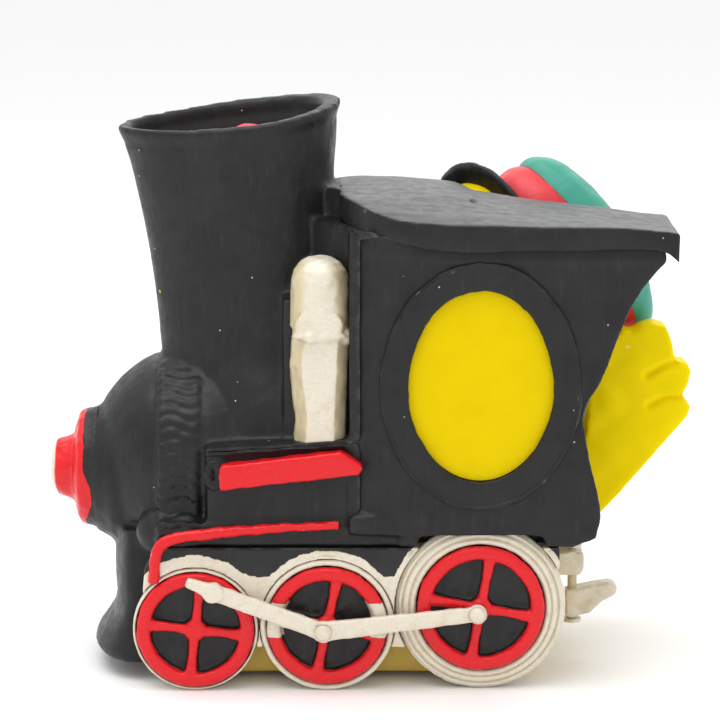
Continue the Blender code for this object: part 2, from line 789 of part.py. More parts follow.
def build_driver():
    body_rings = []
    # Height, centre X, centre Y, radius along X and along Y.
    body = [
        (37.6, 29.0, 12.0, 11.0, 9.0),
        (40.0, 29.0, 12.0, 14.5, 11.5),
        (47.0, 30.0, 11.5, 17.0, 13.2),
        (56.0, 30.0, 11.5, 17.0, 13.2),
        (64.0, 28.5, 12.5, 14.5, 12.0),
        (70.0, 27.0, 14.0, 10.5, 9.6),
        (74.0, 27.0, 15.0, 7.8, 7.6),
        (76.8, 27.0, 15.0, 7.2, 7.2),
    ]
    for z, x, y, radius_x, radius_y in body:
        ring = ellipse((x, y), (radius_x, radius_y), 28)
        body_rings.append([(px, py, z) for px, py in ring])
    add_piece("driver_body", loft_mesh(body_rings), YELLOW)

    tail = [
        (48.0, 30.5),
        (51.0, 29.4),
        (59.4, 39.4),
        (69.0, 51.2),
        (69.7, 53.4),
        (67.9, 55.6),
        (69.4, 58.6),
        (69.9, 61.3),
        (68.0, 62.7),
        (66.3, 63.2),
        (65.4, 67.6),
        (64.0, 70.4),
        (61.2, 71.0),
        (57.8, 69.4),
        (55.2, 69.3),
        (50.5, 64.0),
        (48.6, 56.0),
        (47.6, 44.0),
    ]
    add_piece("driver_tail", upright_plate([tail], 0.5, 10.5), YELLOW)
    wing = ball_mesh((10.5, 1.9, 7.4), 18, 8)
    add_piece("driver_wing", wing, YELLOW, DATUM, (29.0, 26.7, 66.5))

    to_cap = cap_frame()
    head = add_piece("driver_head", ball_mesh((HEAD_RADIUS,) * 3, 24, 14), YELLOW, DATUM, HEAD_CENTRE)
    neck = box_mesh((0, -10, 60), (50, 40, 77.1))
    combine(head, add_cutter("neck_flat", neck), "DIFFERENCE")
    over_cap = add_cutter("cap_flat", cylinder_mesh(30.0, -1.1, 30.0, 24), DATUM, CAP_CENTRE)
    over_cap.rotation_euler = to_cap.to_euler()
    combine(head, over_cap, "DIFFERENCE")
    beak_rings = [
        [(14.0, 16.2 + y, 84.6 + z) for y, z in ellipse((0, 0), (4.2, 2.6), 16)],
        [(11.0, 16.6 + y, 84.0 + z) for y, z in ellipse((0, 0), (4.0, 1.9), 16)],
        [(7.4, 17.0 + y, 83.6 + z) for y, z in ellipse((0, 0), (2.6, 1.0), 16)],
    ]
    beak = add_piece("driver_beak", loft_mesh(beak_rings[::-1]), ORANGE)
    near_head = add_cutter("beak_seat", ball_mesh((HEAD_RADIUS + CLEARANCE,) * 3, 32, 20), DATUM, HEAD_CENTRE)
    combine(beak, near_head, "DIFFERENCE")
    for side_name, azimuth in {"near": 205.0, "far": 148.0}.items():
        direction = Vector((math.cos(math.radians(azimuth)), math.sin(math.radians(azimuth)), 0.05)).normalized()
        centre = Vector(HEAD_CENTRE) + direction * (HEAD_RADIUS + 1.5)
        add_piece(f"driver_eye_{side_name}", ball_mesh((1.1, 1.1, 1.6), 10, 6), BLACK, DATUM, centre)

    def cap_piece(name, mesh, material):
        piece = add_piece(name, mesh, material, DATUM, CAP_CENTRE)
        piece.rotation_euler = to_cap.to_euler()

    cap_piece("cap_peak", smooth(cylinder_mesh(15.8, -0.8, 0.8, 36)), BLACK)
    band = [
        [(x, y, 1.1) for x, y in ellipse((0.6, 0), (11.6, 11.6), 28)],
        [(x, y, 5.0) for x, y in ellipse((3.0, 0), (12.4, 11.8), 28)],
    ]
    cap_piece("cap_band", loft_mesh(band), RED)
    crown = [
        [(x, y, 5.3) for x, y in ellipse((4.5, -0.5), (13.5, 11.8), 28)],
        [(x, y, 7.0) for x, y in ellipse((10.5, -1.5), (19.5, 12.4), 28)],
        [(x, y, 12.0) for x, y in ellipse((15.5, -2.5), (23.2, 13.0), 28)],
        [(x, y, 17.0) for x, y in ellipse((16.5, -2.5), (20.5, 11.6), 28)],
        [(x, y, 20.2) for x, y in ellipse((16.5, -2.5), (14.0, 8.4), 28)],
        [(x, y, 21.2) for x, y in ellipse((16.5, -2.5), (6.5, 4.2), 28)],
    ]
    cap_piece("cap_crown", loft_mesh(crown), GREEN)


# Coupling


def build_coupling():
    lug = [
        (FRAME_REAR + CLEARANCE, 17.6),
        (46.8, 17.6),
        (47.6, 19.0),
        (47.4, 22.6),
        (45.0, 22.9),
        (FRAME_REAR + CLEARANCE, 21.6),
    ]
    bracket = add_piece("draw_bracket", upright_plate([lug], -3.2, 3.2), SILVER)
    bore = cylinder_mesh(1.2 + 0.1, 10.0, 30.0, 20)
    combine(bracket, add_cutter("hook_pin_bore", bore, DATUM, (HOOK_PIVOT_X, 0, 0)), "DIFFERENCE")
    pin = [
        (0, 24.0),
        (1.6, 24.0),
        (2.0, 23.7),
        (2.0, 23.3),
        (1.0, 23.3),
        (1.0, 7.6),
        (2.0, 7.6),
        (2.0, 6.9),
        (0, 6.9),
    ]
    turned("hook_pin", pin, SILVER, steps=14, location_mm=(HOOK_PIVOT_X, 0, 0))

    pivot = empty("drawhook_pivot", (HOOK_PIVOT_X, 0, 0), DATUM)
    arm = [
        (-1.5, 8.0),
        (0.0, 7.9),
        (3.7, 9.1),
        (6.0, 11.3),
        (7.6, 12.4),
        (9.3, 13.2),
        (9.5, 14.6),
        (8.8, 15.6),
        (7.6, 15.8),
        (4.3, 15.2),
        (1.0, 14.4),
        (-1.5, 14.0),
    ]
    hook = add_piece("drawhook", upright_plate([arm], -2.1, 2.1), SILVER, pivot)
    eye = cylinder_mesh(1.3, 0.0, 30.0, 20)
    combine(hook, add_cutter("hook_eye", eye, pivot), "DIFFERENCE")


def build_locomotive():
    wheelsets = {name: build_wheelset(name, wheel) for name, wheel in WHEELS.items()}
    build_side_rods(wheelsets["middle"])
    build_underframe()
    build_side_frames()
    build_footplate()
    build_pilot()
    build_boiler()
    build_smokebox_front()
    build_lamp()
    build_chimney()
    for side_name, side in SIDES.items():
        build_boiler_side(side_name, side)
    build_cab()
    build_roof()
    build_driver()
    build_coupling()


build_locomotive()
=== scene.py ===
"""Looks of the toy train locomotive: soft moulded rubber with hand-painted colours.

Shapes are made in millimetres from the CAD model's datum (ground level, middle plane, a point on the ground
under the rear of the chimney), and are put in place in metres. X runs to the rear, Y to the far side, Z up.
"""

import math

import bmesh
import bpy
import numpy as np
from mathutils import Matrix, Vector


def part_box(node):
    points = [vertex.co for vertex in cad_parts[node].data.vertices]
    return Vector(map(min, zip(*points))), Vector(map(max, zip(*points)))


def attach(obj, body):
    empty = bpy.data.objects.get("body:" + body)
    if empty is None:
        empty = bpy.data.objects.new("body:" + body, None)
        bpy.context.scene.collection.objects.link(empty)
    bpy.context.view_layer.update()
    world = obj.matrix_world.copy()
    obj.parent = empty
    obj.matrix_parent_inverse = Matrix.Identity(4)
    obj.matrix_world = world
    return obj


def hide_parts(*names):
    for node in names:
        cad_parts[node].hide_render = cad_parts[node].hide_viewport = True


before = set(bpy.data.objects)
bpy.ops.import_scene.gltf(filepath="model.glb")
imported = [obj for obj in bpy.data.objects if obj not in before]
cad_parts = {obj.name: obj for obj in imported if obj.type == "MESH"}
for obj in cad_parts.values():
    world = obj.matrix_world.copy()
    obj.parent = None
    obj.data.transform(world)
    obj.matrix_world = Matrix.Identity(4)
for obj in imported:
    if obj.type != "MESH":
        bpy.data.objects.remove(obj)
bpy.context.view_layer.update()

MM = 0.001
MIDDLE_AXLE_X = -6.7
SIDES = {"near": -1, "far": 1}


def node_centre(name):
    low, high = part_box(name)
    return (low + high) / 2


DATUM = Vector((node_centre("axle_middle").x - MIDDLE_AXLE_X * MM, 0.0, 0.0))


def local_box(name):
    """A CAD node's box in millimetres from the datum."""
    low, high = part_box(name)
    return (low - DATUM) / MM, (high - DATUM) / MM


def wheel_facts(name):
    """Centre X, centre height, tyre radius and spoked radius of a wheel."""
    low, high = local_box(f"tyre_{name}_near")
    rim_low, rim_high = local_box(f"wheel_{name}_near")
    return {
        "x": (low.x + high.x) / 2,
        "z": (low.z + high.z) / 2,
        "tyre": (high.z - low.z) / 2,
        "rim": (rim_high.z - rim_low.z) / 2,
    }


WHEELS = {name: wheel_facts(name) for name in ("front", "middle", "rear")}
SILVER_WIDTH = {"front": 2.6, "middle": 1.7, "rear": 1.2}
NOTCH_HEIGHT = 23.9
SKIRT_FACE = 27.0
RIM_WIDTH = 2.9
SPOKE_TURN = {"front": 6.5, "middle": 12.0, "rear": 10.0}
TYRE_BACK = 23.8
WHEEL_FACE = 28.5
BOILER_AXIS = 43.5
LAMP_AXIS = 40.5
WINDOW = (24.2, 63.5)
WINDOW_OUTER = (20.3, 25.7)
WINDOW_INNER = (14.5, 19.2)
WALL_INNER = 26.0
WALL_OUTER = 28.1

# Camera and light


def point_at(obj, target):
    obj.rotation_euler = (Vector(target) - obj.location).to_track_quat("-Z", "Y").to_euler()


def make_camera():
    elevation = math.radians(11.0)
    distance = 0.6
    target = DATUM + Vector((0.0, 0.0, 63.56 * MM))
    data = bpy.data.cameras.new("camera")
    data.sensor_width = 36.0
    data.lens = 142.9
    data.clip_start = 0.01
    camera = bpy.data.objects.new("camera", data)
    bpy.context.scene.collection.objects.link(camera)
    camera.location = target + distance * Vector((0.0, -math.cos(elevation), math.sin(elevation)))
    point_at(camera, target)
    bpy.context.scene.camera = camera


def make_light(name, location, target, size, power, colour=(1.0, 1.0, 1.0)):
    data = bpy.data.lights.new(name, "AREA")
    data.shape = "RECTANGLE"
    data.size, data.size_y = size
    data.energy = power
    data.color = colour
    light = bpy.data.objects.new(name, data)
    bpy.context.scene.collection.objects.link(light)
    light.location = location
    point_at(light, target)


def make_studio():
    world = bpy.data.worlds.new("studio")
    world.use_nodes = True
    background = world.node_tree.nodes["Background"]
    background.inputs["Color"].default_value = (1.0, 1.0, 1.0, 1.0)
    background.inputs["Strength"].default_value = 1.0
    bpy.context.scene.world = world
    middle = (0.0, 0.0, 0.05)
    make_light("top_softbox", (-0.15, -0.12, 0.75), middle, (0.7, 0.6), 3.6)
    make_light("back_softbox", (0.05, 0.55, 0.5), middle, (0.8, 0.4), 0.9)

    mesh = bpy.data.meshes.new("floor")
    bm = bmesh.new()
    bmesh.ops.create_grid(bm, x_segments=8, y_segments=8, size=4.0)
    bm.to_mesh(mesh)
    bm.free()
    floor = bpy.data.objects.new("floor", mesh)
    bpy.context.scene.collection.objects.link(floor)
    paint = bpy.data.materials.new("pale_floor")
    paint.use_nodes = True
    shader = paint.node_tree.nodes["Principled BSDF"]
    shader.inputs["Base Color"].default_value = (0.93, 0.93, 0.93, 1.0)
    shader.inputs["Roughness"].default_value = 0.6
    mesh.materials.append(paint)
    bpy.context.scene.view_settings.view_transform = "Standard"


# Materials


class Paint:
    """A material with a Principled BSDF and short ways to add the nodes that drive it."""

    def __init__(self, name):
        self.material = bpy.data.materials.new(name)
        self.material.use_nodes = True
        self.tree = self.material.node_tree
        self.shader = self.tree.nodes["Principled BSDF"]
        self.place = self.tree.nodes.new("ShaderNodeTexCoord").outputs["Object"]

    def put(self, socket, value):
        if isinstance(value, bpy.types.NodeSocket):
            self.tree.links.new(value, socket)
        elif value is not None:
            socket.default_value = value

    def node(self, kind, values=None, **settings):
        made = self.tree.nodes.new(kind)
        for key, value in settings.items():
            setattr(made, key, value)
        for key, value in (values or {}).items():
            self.put(made.inputs[key], value)
        return made

    def maths(self, operation, first, second=None):
        return self.node("ShaderNodeMath", {0: first, 1: second}, operation=operation).outputs[0]

    def times(self, first, second):
        return self.maths("MULTIPLY", first, second)

    def less(self, first, second):
        return self.maths("SUBTRACT", first, second)

    def vector(self, operation, first, second=None):
        values = {0: first, 1: second} if second is not None else {0: first}
        return self.node("ShaderNodeVectorMath", values, operation=operation).outputs["Value"]

    def ragged(self, size_mm, detail, width_mm):
        """An uneven shift, in metres, that makes a painted border ragged."""
        return self.times(self.less(self.noise(size_mm, detail), 0.5), width_mm * MM)

    def noise(self, size_mm, detail=3.0, stretch=None, roughness=0.55):
        """Noise from 0 to 1 whose lumps are about this size. Stretch scales the three axes."""
        vector = self.place
        if stretch:
            vector = self.node("ShaderNodeMapping", {"Vector": vector, "Scale": stretch}).outputs[0]
        values = {"Vector": vector, "Scale": 1.0 / (size_mm * MM), "Detail": detail, "Roughness": roughness}
        return self.node("ShaderNodeTexNoise", values).outputs["Fac"]

    def ramp(self, value, low, high, to_low=0.0, to_high=1.0):
        values = {"Value": value, "From Min": low, "From Max": high, "To Min": to_low, "To Max": to_high}
        return self.node("ShaderNodeMapRange", values, interpolation_type="SMOOTHSTEP").outputs[0]

    def mix(self, amount, first, second):
        made = self.node("ShaderNodeMix", data_type="RGBA")
        self.put(made.inputs["Factor"], amount)
        self.put(made.inputs[6], first)
        self.put(made.inputs[7], second)
        return made.outputs[2]

    def split(self):
        return self.node("ShaderNodeSeparateXYZ", {"Vector": self.place}).outputs

    def facing(self):
        """The surface's direction, as X, Y and Z."""
        normal = self.node("ShaderNodeNewGeometry").outputs["Normal"]
        return self.node("ShaderNodeSeparateXYZ", {"Vector": normal}).outputs

    def specks(self, size_mm, share, radius):
        """Scattered dots: cells of this size, of which only this share holds a dot."""
        values = {"Vector": self.place, "Scale": 1.0 / (size_mm * MM)}
        cells = self.node("ShaderNodeTexVoronoi", values)
        draw = self.node("ShaderNodeSeparateColor", {"Color": cells.outputs["Color"]}).outputs[0]
        chosen = self.maths("GREATER_THAN", draw, 1.0 - share)
        dot = self.ramp(cells.outputs["Distance"], radius, radius * 0.6)
        return self.times(dot, chosen)

    def edges(self, low, high):
        """1 on sharp outer edges. With low over high, 1 in creases."""
        pointiness = self.node("ShaderNodeNewGeometry").outputs["Pointiness"]
        return self.ramp(pointiness, low, high)

    def bump(self, height, depth_mm, after=None):
        values = {"Height": height, "Strength": 1.0, "Distance": depth_mm * MM}
        if after is not None:
            values["Normal"] = after
        return self.node("ShaderNodeBump", values).outputs[0]

    def finish(self, colour, roughness, normal=None, **plain):
        self.put(self.shader.inputs["Base Color"], colour)
        self.put(self.shader.inputs["Roughness"], roughness)
        if normal is not None:
            self.put(self.shader.inputs["Normal"], normal)
        for key, value in plain.items():
            self.shader.inputs[key.replace("_", " ")].default_value = value
        return self.material


def rgb(red, green, blue):
    return (red, green, blue, 1.0)


BLACK_DARK = rgb(0.0085, 0.0085, 0.009)
BLACK_LIGHT = rgb(0.014, 0.0138, 0.014)
RED_FULL = rgb(0.68, 0.007, 0.012)
# Dark red: red brushed thin over black, and also the painted shade in red creases.
RED_THIN_AND_SHADE = rgb(0.36, 0.008, 0.010)
SILVER_LIGHT = rgb(0.72, 0.66, 0.54)
SILVER_WARM_AND_SHADE = rgb(0.55, 0.44, 0.22)
YELLOW_FULL = rgb(0.72, 0.53, 0.0)
YELLOW_SHADE = rgb(0.66, 0.46, 0.0)
GREEN_FULL = rgb(0.042, 0.31, 0.225)


def black_layers(paint):
    """Colour, roughness and normal of the charcoal paint."""
    tone = paint.noise(9.0, 4.0)
    strokes = paint.noise(1.1, 5.0, (1.0, 1.0, 0.16))
    grey = paint.mix(paint.ramp(tone, 0.3, 0.7), BLACK_DARK, BLACK_LIGHT)
    grey = paint.mix(paint.ramp(strokes, 0.52, 0.85, 0.0, 0.6), grey, rgb(0.034, 0.032, 0.032))
    worn = paint.times(paint.edges(0.54, 0.64), paint.ramp(paint.noise(3.0), 0.42, 0.62))
    colour = paint.mix(paint.times(worn, 0.5), grey, rgb(0.13, 0.13, 0.10))
    colour = paint.mix(paint.specks(3.4, 0.16, 0.06), colour, rgb(0.5, 0.5, 0.48))
    colour = paint.mix(paint.specks(11.0, 0.07, 0.045), colour, rgb(0.55, 0.45, 0.03))
    roughness = paint.ramp(paint.noise(2.2, 4.0), 0.3, 0.7, 0.34, 0.50)
    normal = paint.bump(paint.noise(5.0, 2.0), 0.22)
    normal = paint.bump(strokes, 0.05, normal)
    normal = paint.bump(paint.noise(0.5, 2.0), 0.014, normal)
    return colour, roughness, normal


def red_layers(paint):
    thin = paint.ramp(paint.noise(2.6, 4.0), 0.60, 0.78)
    colour = paint.mix(paint.times(thin, 0.65), RED_FULL, RED_THIN_AND_SHADE)
    # Painted shade: creases are darkened towards the dark red.
    crease = paint.edges(0.49, 0.44)
    colour = paint.mix(paint.times(crease, 0.5), colour, RED_THIN_AND_SHADE)
    colour = paint.mix(paint.specks(3.4, 0.16, 0.08), colour, rgb(0.9, 0.72, 0.66))
    roughness = paint.ramp(paint.noise(2.0, 3.0), 0.3, 0.7, 0.22, 0.36)
    normal = paint.bump(paint.noise(1.8, 2.0), 0.14)
    return colour, roughness, normal


def silver_layers(paint, shaded_sides=False):
    flakes = paint.node("ShaderNodeTexVoronoi", {"Vector": paint.place, "Scale": 1.0 / (0.34 * MM)})
    glitter = paint.node("ShaderNodeSeparateColor", {"Color": flakes.outputs["Color"]}).outputs[0]
    warm_and_shade = paint.ramp(paint.noise(3.4, 4.0), 0.50, 0.80, 0.0, 0.55)
    crease = paint.edges(0.492, 0.44)
    warm_and_shade = paint.maths("MAXIMUM", warm_and_shade, paint.times(crease, 0.9))
    if shaded_sides:
        # Painted shade: faces turned to the front or rear are darkened towards the warm silver.
        facing = paint.facing()
        side_shade = paint.ramp(paint.maths("ABSOLUTE", facing["X"]), 0.25, 0.8, 0.0, 0.75)
        warm_and_shade = paint.maths("MAXIMUM", warm_and_shade, side_shade)
    colour = paint.mix(warm_and_shade, SILVER_LIGHT, SILVER_WARM_AND_SHADE)
    colour = paint.mix(paint.ramp(glitter, 0.3, 0.95, 0.0, 0.22), colour, rgb(0.50, 0.47, 0.40))
    roughness = paint.ramp(glitter, 0.0, 1.0, 0.28, 0.46)
    normal = paint.bump(paint.noise(1.6, 3.0), 0.10)
    normal = paint.bump(glitter, 0.012, normal)
    return colour, roughness, normal


def plain_layers(paint, full, shade, size=7.0):
    colour = paint.mix(paint.ramp(paint.noise(size, 3.0), 0.40, 0.80, 0.0, 0.35), full, shade)
    # Painted shade: creases are darkened towards the shade colour.
    crease = paint.edges(0.49, 0.44)
    colour = paint.mix(paint.times(crease, 0.5), colour, shade)
    colour = paint.mix(paint.specks(6.0, 0.08, 0.06), colour, rgb(0.9, 0.88, 0.8))
    roughness = paint.ramp(paint.noise(2.5, 3.0), 0.3, 0.7, 0.34, 0.46)
    normal = paint.bump(paint.noise(3.0, 2.0), 0.12)
    normal = paint.bump(paint.noise(0.45, 2.0), 0.014, normal)
    return colour, roughness, normal


def mix_layers(paint, amount, under, over):
    """Two paints, the second on top where amount is 1."""
    colour = paint.mix(amount, under[0], over[0])
    roughness = paint.node("ShaderNodeMix", {"Factor": amount}, data_type="FLOAT")
    paint.put(roughness.inputs[2], under[1])
    paint.put(roughness.inputs[3], over[1])
    return colour, roughness.outputs[0], paint.bump(amount, 0.12, over[2])


def painted(name, layers, *values, specular=0.35, **plain):
    """A material that is one paint all over."""
    paint = Paint(name)
    return paint.finish(*layers(paint, *values), Specular_IOR_Level=specular, **plain)


def roof_paint():
    """Charcoal brushed along the roof, with a painted highlight streaked over its up-facing top."""
    paint = Paint("roof_paint")
    colour, roughness, normal = black_layers(paint)
    facing = paint.facing()
    upward = paint.ramp(facing["Z"], 0.55, 0.95)
    strokes = paint.ramp(paint.noise(1.3, 4.0, (0.12, 1.0, 1.0)), 0.25, 0.75, 0.45, 1.0)
    # Painted highlight: up-facing surfaces turn lighter grey, broken into streaks along the brushing.
    top_highlight = paint.times(upward, strokes)
    colour = paint.mix(paint.times(top_highlight, 0.62), colour, rgb(0.20, 0.20, 0.205))
    return paint.finish(colour, roughness, normal, Specular_IOR_Level=0.3)


def steel():
    paint = Paint("steel")
    scratches = paint.noise(0.7, 4.0, (1.0, 0.1, 1.0))
    colour = paint.mix(paint.ramp(scratches, 0.3, 0.7), rgb(0.42, 0.42, 0.43), rgb(0.62, 0.62, 0.63))
    roughness = paint.ramp(scratches, 0.3, 0.7, 0.25, 0.42)
    return paint.finish(colour, roughness, paint.bump(scratches, 0.03), Metallic=1.0)


def wheel_paint(name="wheel_paint", bridged=False):
    """Red on the raised rim and spokes, black in the recesses, with a thin pale line where they meet."""
    paint = Paint(name)
    x, y, z = paint.split()
    flat = paint.node("ShaderNodeCombineXYZ", {"X": x, "Z": z}).outputs[0]
    hole = WHEELS["middle"]["rim"] - RIM_WIDTH
    outward = paint.maths("ABSOLUTE", y)
    wobble = paint.ragged(2.4, 3.0, 0.9)
    height = paint.maths("ADD", outward, wobble)
    raised = paint.ramp(height, (WHEEL_FACE - 1.5) * MM, (WHEEL_FACE - 1.3) * MM)
    line = paint.ramp(height, (WHEEL_FACE - 1.75) * MM, (WHEEL_FACE - 1.6) * MM)
    black = list(black_layers(paint))
    patchy = paint.times(line, paint.ramp(paint.noise(3.0), 0.45, 0.6))
    black[0] = paint.mix(paint.times(patchy, 0.8), black[0], rgb(0.22, 0.17, 0.13))
    layers = mix_layers(paint, raised, black, red_layers(paint))
    if bridged:
        # The silver of the tyre runs over the rim at its two sides.
        away = paint.vector("LENGTH", flat)
        outside = paint.ramp(away, (hole - 0.5) * MM, (hole - 0.2) * MM)
        level = paint.maths("ABSOLUTE", paint.less(z, 1.3 * MM))
        side_shade = paint.ramp(paint.maths("ADD", level, wobble), 3.7 * MM, 3.5 * MM)
        here = paint.times(outside, side_shade)
        layers = mix_layers(paint, here, layers, silver_layers(paint))
    return paint.finish(*layers, Specular_IOR_Level=0.35)


def lamp_paint():
    """Red with a ragged edge towards the black bracket, lower down further back."""
    paint = Paint("lamp_paint")
    x, y, z = paint.split()
    ragged = paint.ragged(2.4, 3.0, 1.2)
    border = local_box("lamp_body")[1].x * MM + DATUM.x - 0.2 * MM
    sag = paint.ramp(paint.maths("ABSOLUTE", paint.less(z, 36.5 * MM)), 7.0 * MM, 0.5 * MM)
    border = paint.maths("ADD", ragged, border)
    reach = paint.less(paint.less(x, border), paint.times(sag, 1.7 * MM))
    red = paint.ramp(reach, 0.08 * MM, -0.08 * MM)
    layers = mix_layers(paint, red, black_layers(paint), red_layers(paint))
    return paint.finish(*layers, Specular_IOR_Level=0.35)


def cap_red_layers(paint):
    return plain_layers(paint, rgb(0.68, 0.042, 0.05), rgb(0.55, 0.02, 0.03))


def cap_paint(axes):
    """Green crown over a red underside. The brushed border lies across the crown's normal."""
    paint = Paint("cap_paint")
    normal = axes.col[2].to_3d()
    along = paint.vector("DOT_PRODUCT", paint.place, normal)
    wobble = paint.ragged(9.0, 2.0, 1.6)
    green = paint.ramp(paint.maths("ADD", along, wobble), -2.0 * MM, -1.8 * MM)
    top = plain_layers(paint, GREEN_FULL, rgb(0.032, 0.25, 0.18))
    return paint.finish(*mix_layers(paint, green, cap_red_layers(paint), top), Specular_IOR_Level=0.35)


# Shapes, in millimetres from the datum


def mesh_from(build):
    mesh = bpy.data.meshes.new("shape")
    bm = bmesh.new()
    build(bm)
    bmesh.ops.recalc_face_normals(bm, faces=bm.faces)
    bm.to_mesh(mesh)
    bm.free()
    return mesh


def loft(rings):
    """Closed body through rings of equally many points."""

    def build(bm):
        rows = [[bm.verts.new(point) for point in ring] for ring in rings]
        count = len(rows[0])
        for lower, upper in zip(rows, rows[1:]):
            for i in range(count):
                j = (i + 1) % count
                bm.faces.new((lower[i], lower[j], upper[j], upper[i]))
        bm.faces.new(reversed(rows[0]))
        bm.faces.new(rows[-1])

    return mesh_from(build)


def ball(centre, radii, turn=(0, 0, 0)):
    def build(bm):
        spin = Matrix.Rotation(math.radians(turn[2]), 4, "Z")
        spin = spin @ Matrix.Rotation(math.radians(turn[1]), 4, "Y")
        spin = spin @ Matrix.Rotation(math.radians(turn[0]), 4, "X")
        matrix = Matrix.Translation(centre) @ spin @ Matrix.Diagonal((*radii, 1.0))
        bmesh.ops.create_uvsphere(bm, u_segments=48, v_segments=28, radius=1.0, matrix=matrix)

    return mesh_from(build)


def block(low, high):
    def build(bm):
        size = Vector(high) - Vector(low)
        matrix = Matrix.Translation((Vector(low) + Vector(high)) / 2) @ Matrix.Diagonal((*size, 1.0))
        bmesh.ops.create_cube(bm, size=1.0, matrix=matrix)

    return mesh_from(build)


def turned(profile, centre, axis, steps=96):
    """Profile of (radius, height) turned about an axis through the centre, from axis to axis."""
    axis = Vector(axis).normalized()
    side = axis.orthogonal().normalized()
    other = axis.cross(side)
    inner = profile[1:-1]

    def build(bm):
        rows = []
        for radius, height in inner:
            row = []
            for i in range(steps):
                angle = 2 * math.pi * i / steps
                spoke = side * math.cos(angle) + other * math.sin(angle)
                row.append(bm.verts.new(Vector(centre) + axis * height + spoke * radius))
            rows.append(row)
        for lower, upper in zip(rows, rows[1:]):
            for i in range(steps):
                j = (i + 1) % steps
                bm.faces.new((lower[i], lower[j], upper[j], upper[i]))
        for row, height in ((rows[0], profile[0][1]), (rows[-1], profile[-1][1])):
            tip = bm.verts.new(Vector(centre) + axis * height)
            for i in range(steps):
                bm.faces.new((row[i], row[(i + 1) % steps], tip))

    return mesh_from(build)


def ring_body(path, section):
    """Closed ring: path gives points and outward directions, section the (out, along Y) offsets."""

    def build(bm):
        rows = []
        for point, outward in path:
            row = []
            for out, depth in section:
                row.append(bm.verts.new(Vector(point) + Vector(outward) * out + Vector((0, depth, 0))))
            rows.append(row)
        count = len(rows)
        for i in range(count):
            row, following = rows[i], rows[(i + 1) % count]
            for j in range(len(row)):
                k = (j + 1) % len(row)
                bm.faces.new((row[j], row[k], following[k], following[j]))

    return mesh_from(build)


def through(obj):
    """The mesh of an object after its modifiers. The object is removed."""
    bpy.context.view_layer.update()
    graph = bpy.context.evaluated_depsgraph_get()
    mesh = bpy.data.meshes.new_from_object(obj.evaluated_get(graph))
    bpy.data.objects.remove(obj, do_unlink=True)
    return mesh


def holder(data):
    obj = bpy.data.objects.new("holder", data)
    bpy.context.scene.collection.objects.link(obj)
    return obj


def prism(outlines, low, high, matrix):
    """Flat outlines made solid along their own Z from low to high. Outlines after the first are holes."""
    curve = bpy.data.curves.new("outline", "CURVE")
    curve.dimensions = "2D"
    curve.fill_mode = "BOTH"
    curve.extrude = (high - low) / 2
    for outline in outlines:
        spline = curve.splines.new("POLY")
        spline.points.add(len(outline) - 1)
        for point, (x, y) in zip(spline.points, outline):
            point.co = (x, y, 0.0, 1.0)
        spline.use_cyclic_u = True
    mesh = through(holder(curve))
    bm = bmesh.new()
    bm.from_mesh(mesh)
    bmesh.ops.remove_doubles(bm, verts=bm.verts, dist=0.001)
    bmesh.ops.translate(bm, verts=bm.verts, vec=(0, 0, (low + high) / 2))
    bmesh.ops.transform(bm, verts=bm.verts, matrix=matrix)
    bmesh.ops.recalc_face_normals(bm, faces=bm.faces)
    bm.to_mesh(mesh)
    bm.free()
    return mesh


ACROSS = Matrix(((0, 0, 1, 0), (1, 0, 0, 0), (0, 1, 0, 0), (0, 0, 0, 1)))
UPRIGHT = Matrix.Rotation(math.radians(90), 4, "X")


def prism_x(outline, x_low, x_high):
    return prism([outline], x_low, x_high, ACROSS)


def prism_y(outlines, y_one, y_two):
    y_low, y_high = sorted((y_one, y_two))
    return prism(outlines, -y_high, -y_low, UPRIGHT)


def prism_z(outline, z_low, z_high):
    return prism([outline], z_low, z_high, Matrix.Identity(4))


def ellipse(centre, radii, count=64, start=0.0, end=360.0):
    angles = np.radians(np.linspace(start, end, count, endpoint=abs(end - start) < 360.0))
    return [(centre[0] + radii[0] * math.cos(a), centre[1] + radii[1] * math.sin(a)) for a in angles]


def tube(points, radius):
    """A round bar along a smooth curve through the points, with round ends."""
    curve = bpy.data.curves.new("tube", "CURVE")
    curve.dimensions = "3D"
    curve.bevel_depth = radius
    curve.bevel_resolution = 6
    curve.use_fill_caps = True
    curve.resolution_u = 10
    spline = curve.splines.new("NURBS")
    spline.points.add(len(points) - 1)
    spline.order_u = 3
    spline.use_endpoint_u = True
    for node, point in zip(spline.points, points):
        node.co = (*point, 1.0)
    return through(holder(curve))


def joined(meshes):
    bm = bmesh.new()
    for mesh in meshes:
        bm.from_mesh(mesh)
    mesh = bpy.data.meshes.new("joined")
    bm.to_mesh(mesh)
    bm.free()
    return mesh


def cut(mesh, tools):
    """The mesh without the space that the tools fill."""
    whole = holder(mesh)
    parts = [holder(tool) for tool in tools]
    for part in parts:
        modifier = whole.modifiers.new("cut", "BOOLEAN")
        modifier.operation = "DIFFERENCE"
        modifier.object = part
    result = through(whole)
    for part in parts:
        bpy.data.objects.remove(part, do_unlink=True)
    return result


def finer(mesh, levels):
    """The mesh subdivided smoothly."""
    obj = holder(mesh)
    subdivision = obj.modifiers.new("finer", "SUBSURF")
    subdivision.levels = subdivision.render_levels = levels
    return through(obj)


def fuse(meshes, voxel, soften):
    """One skin over overlapping bodies, with soft fillets where they meet."""
    obj = holder(joined(meshes))
    skin = obj.modifiers.new("skin", "REMESH")
    skin.mode = "VOXEL"
    skin.voxel_size = voxel * 1.0
    if soften:
        smooth = obj.modifiers.new("soften", "SMOOTH")
        smooth.factor = 0.5
        smooth.iterations = soften
    return through(obj)


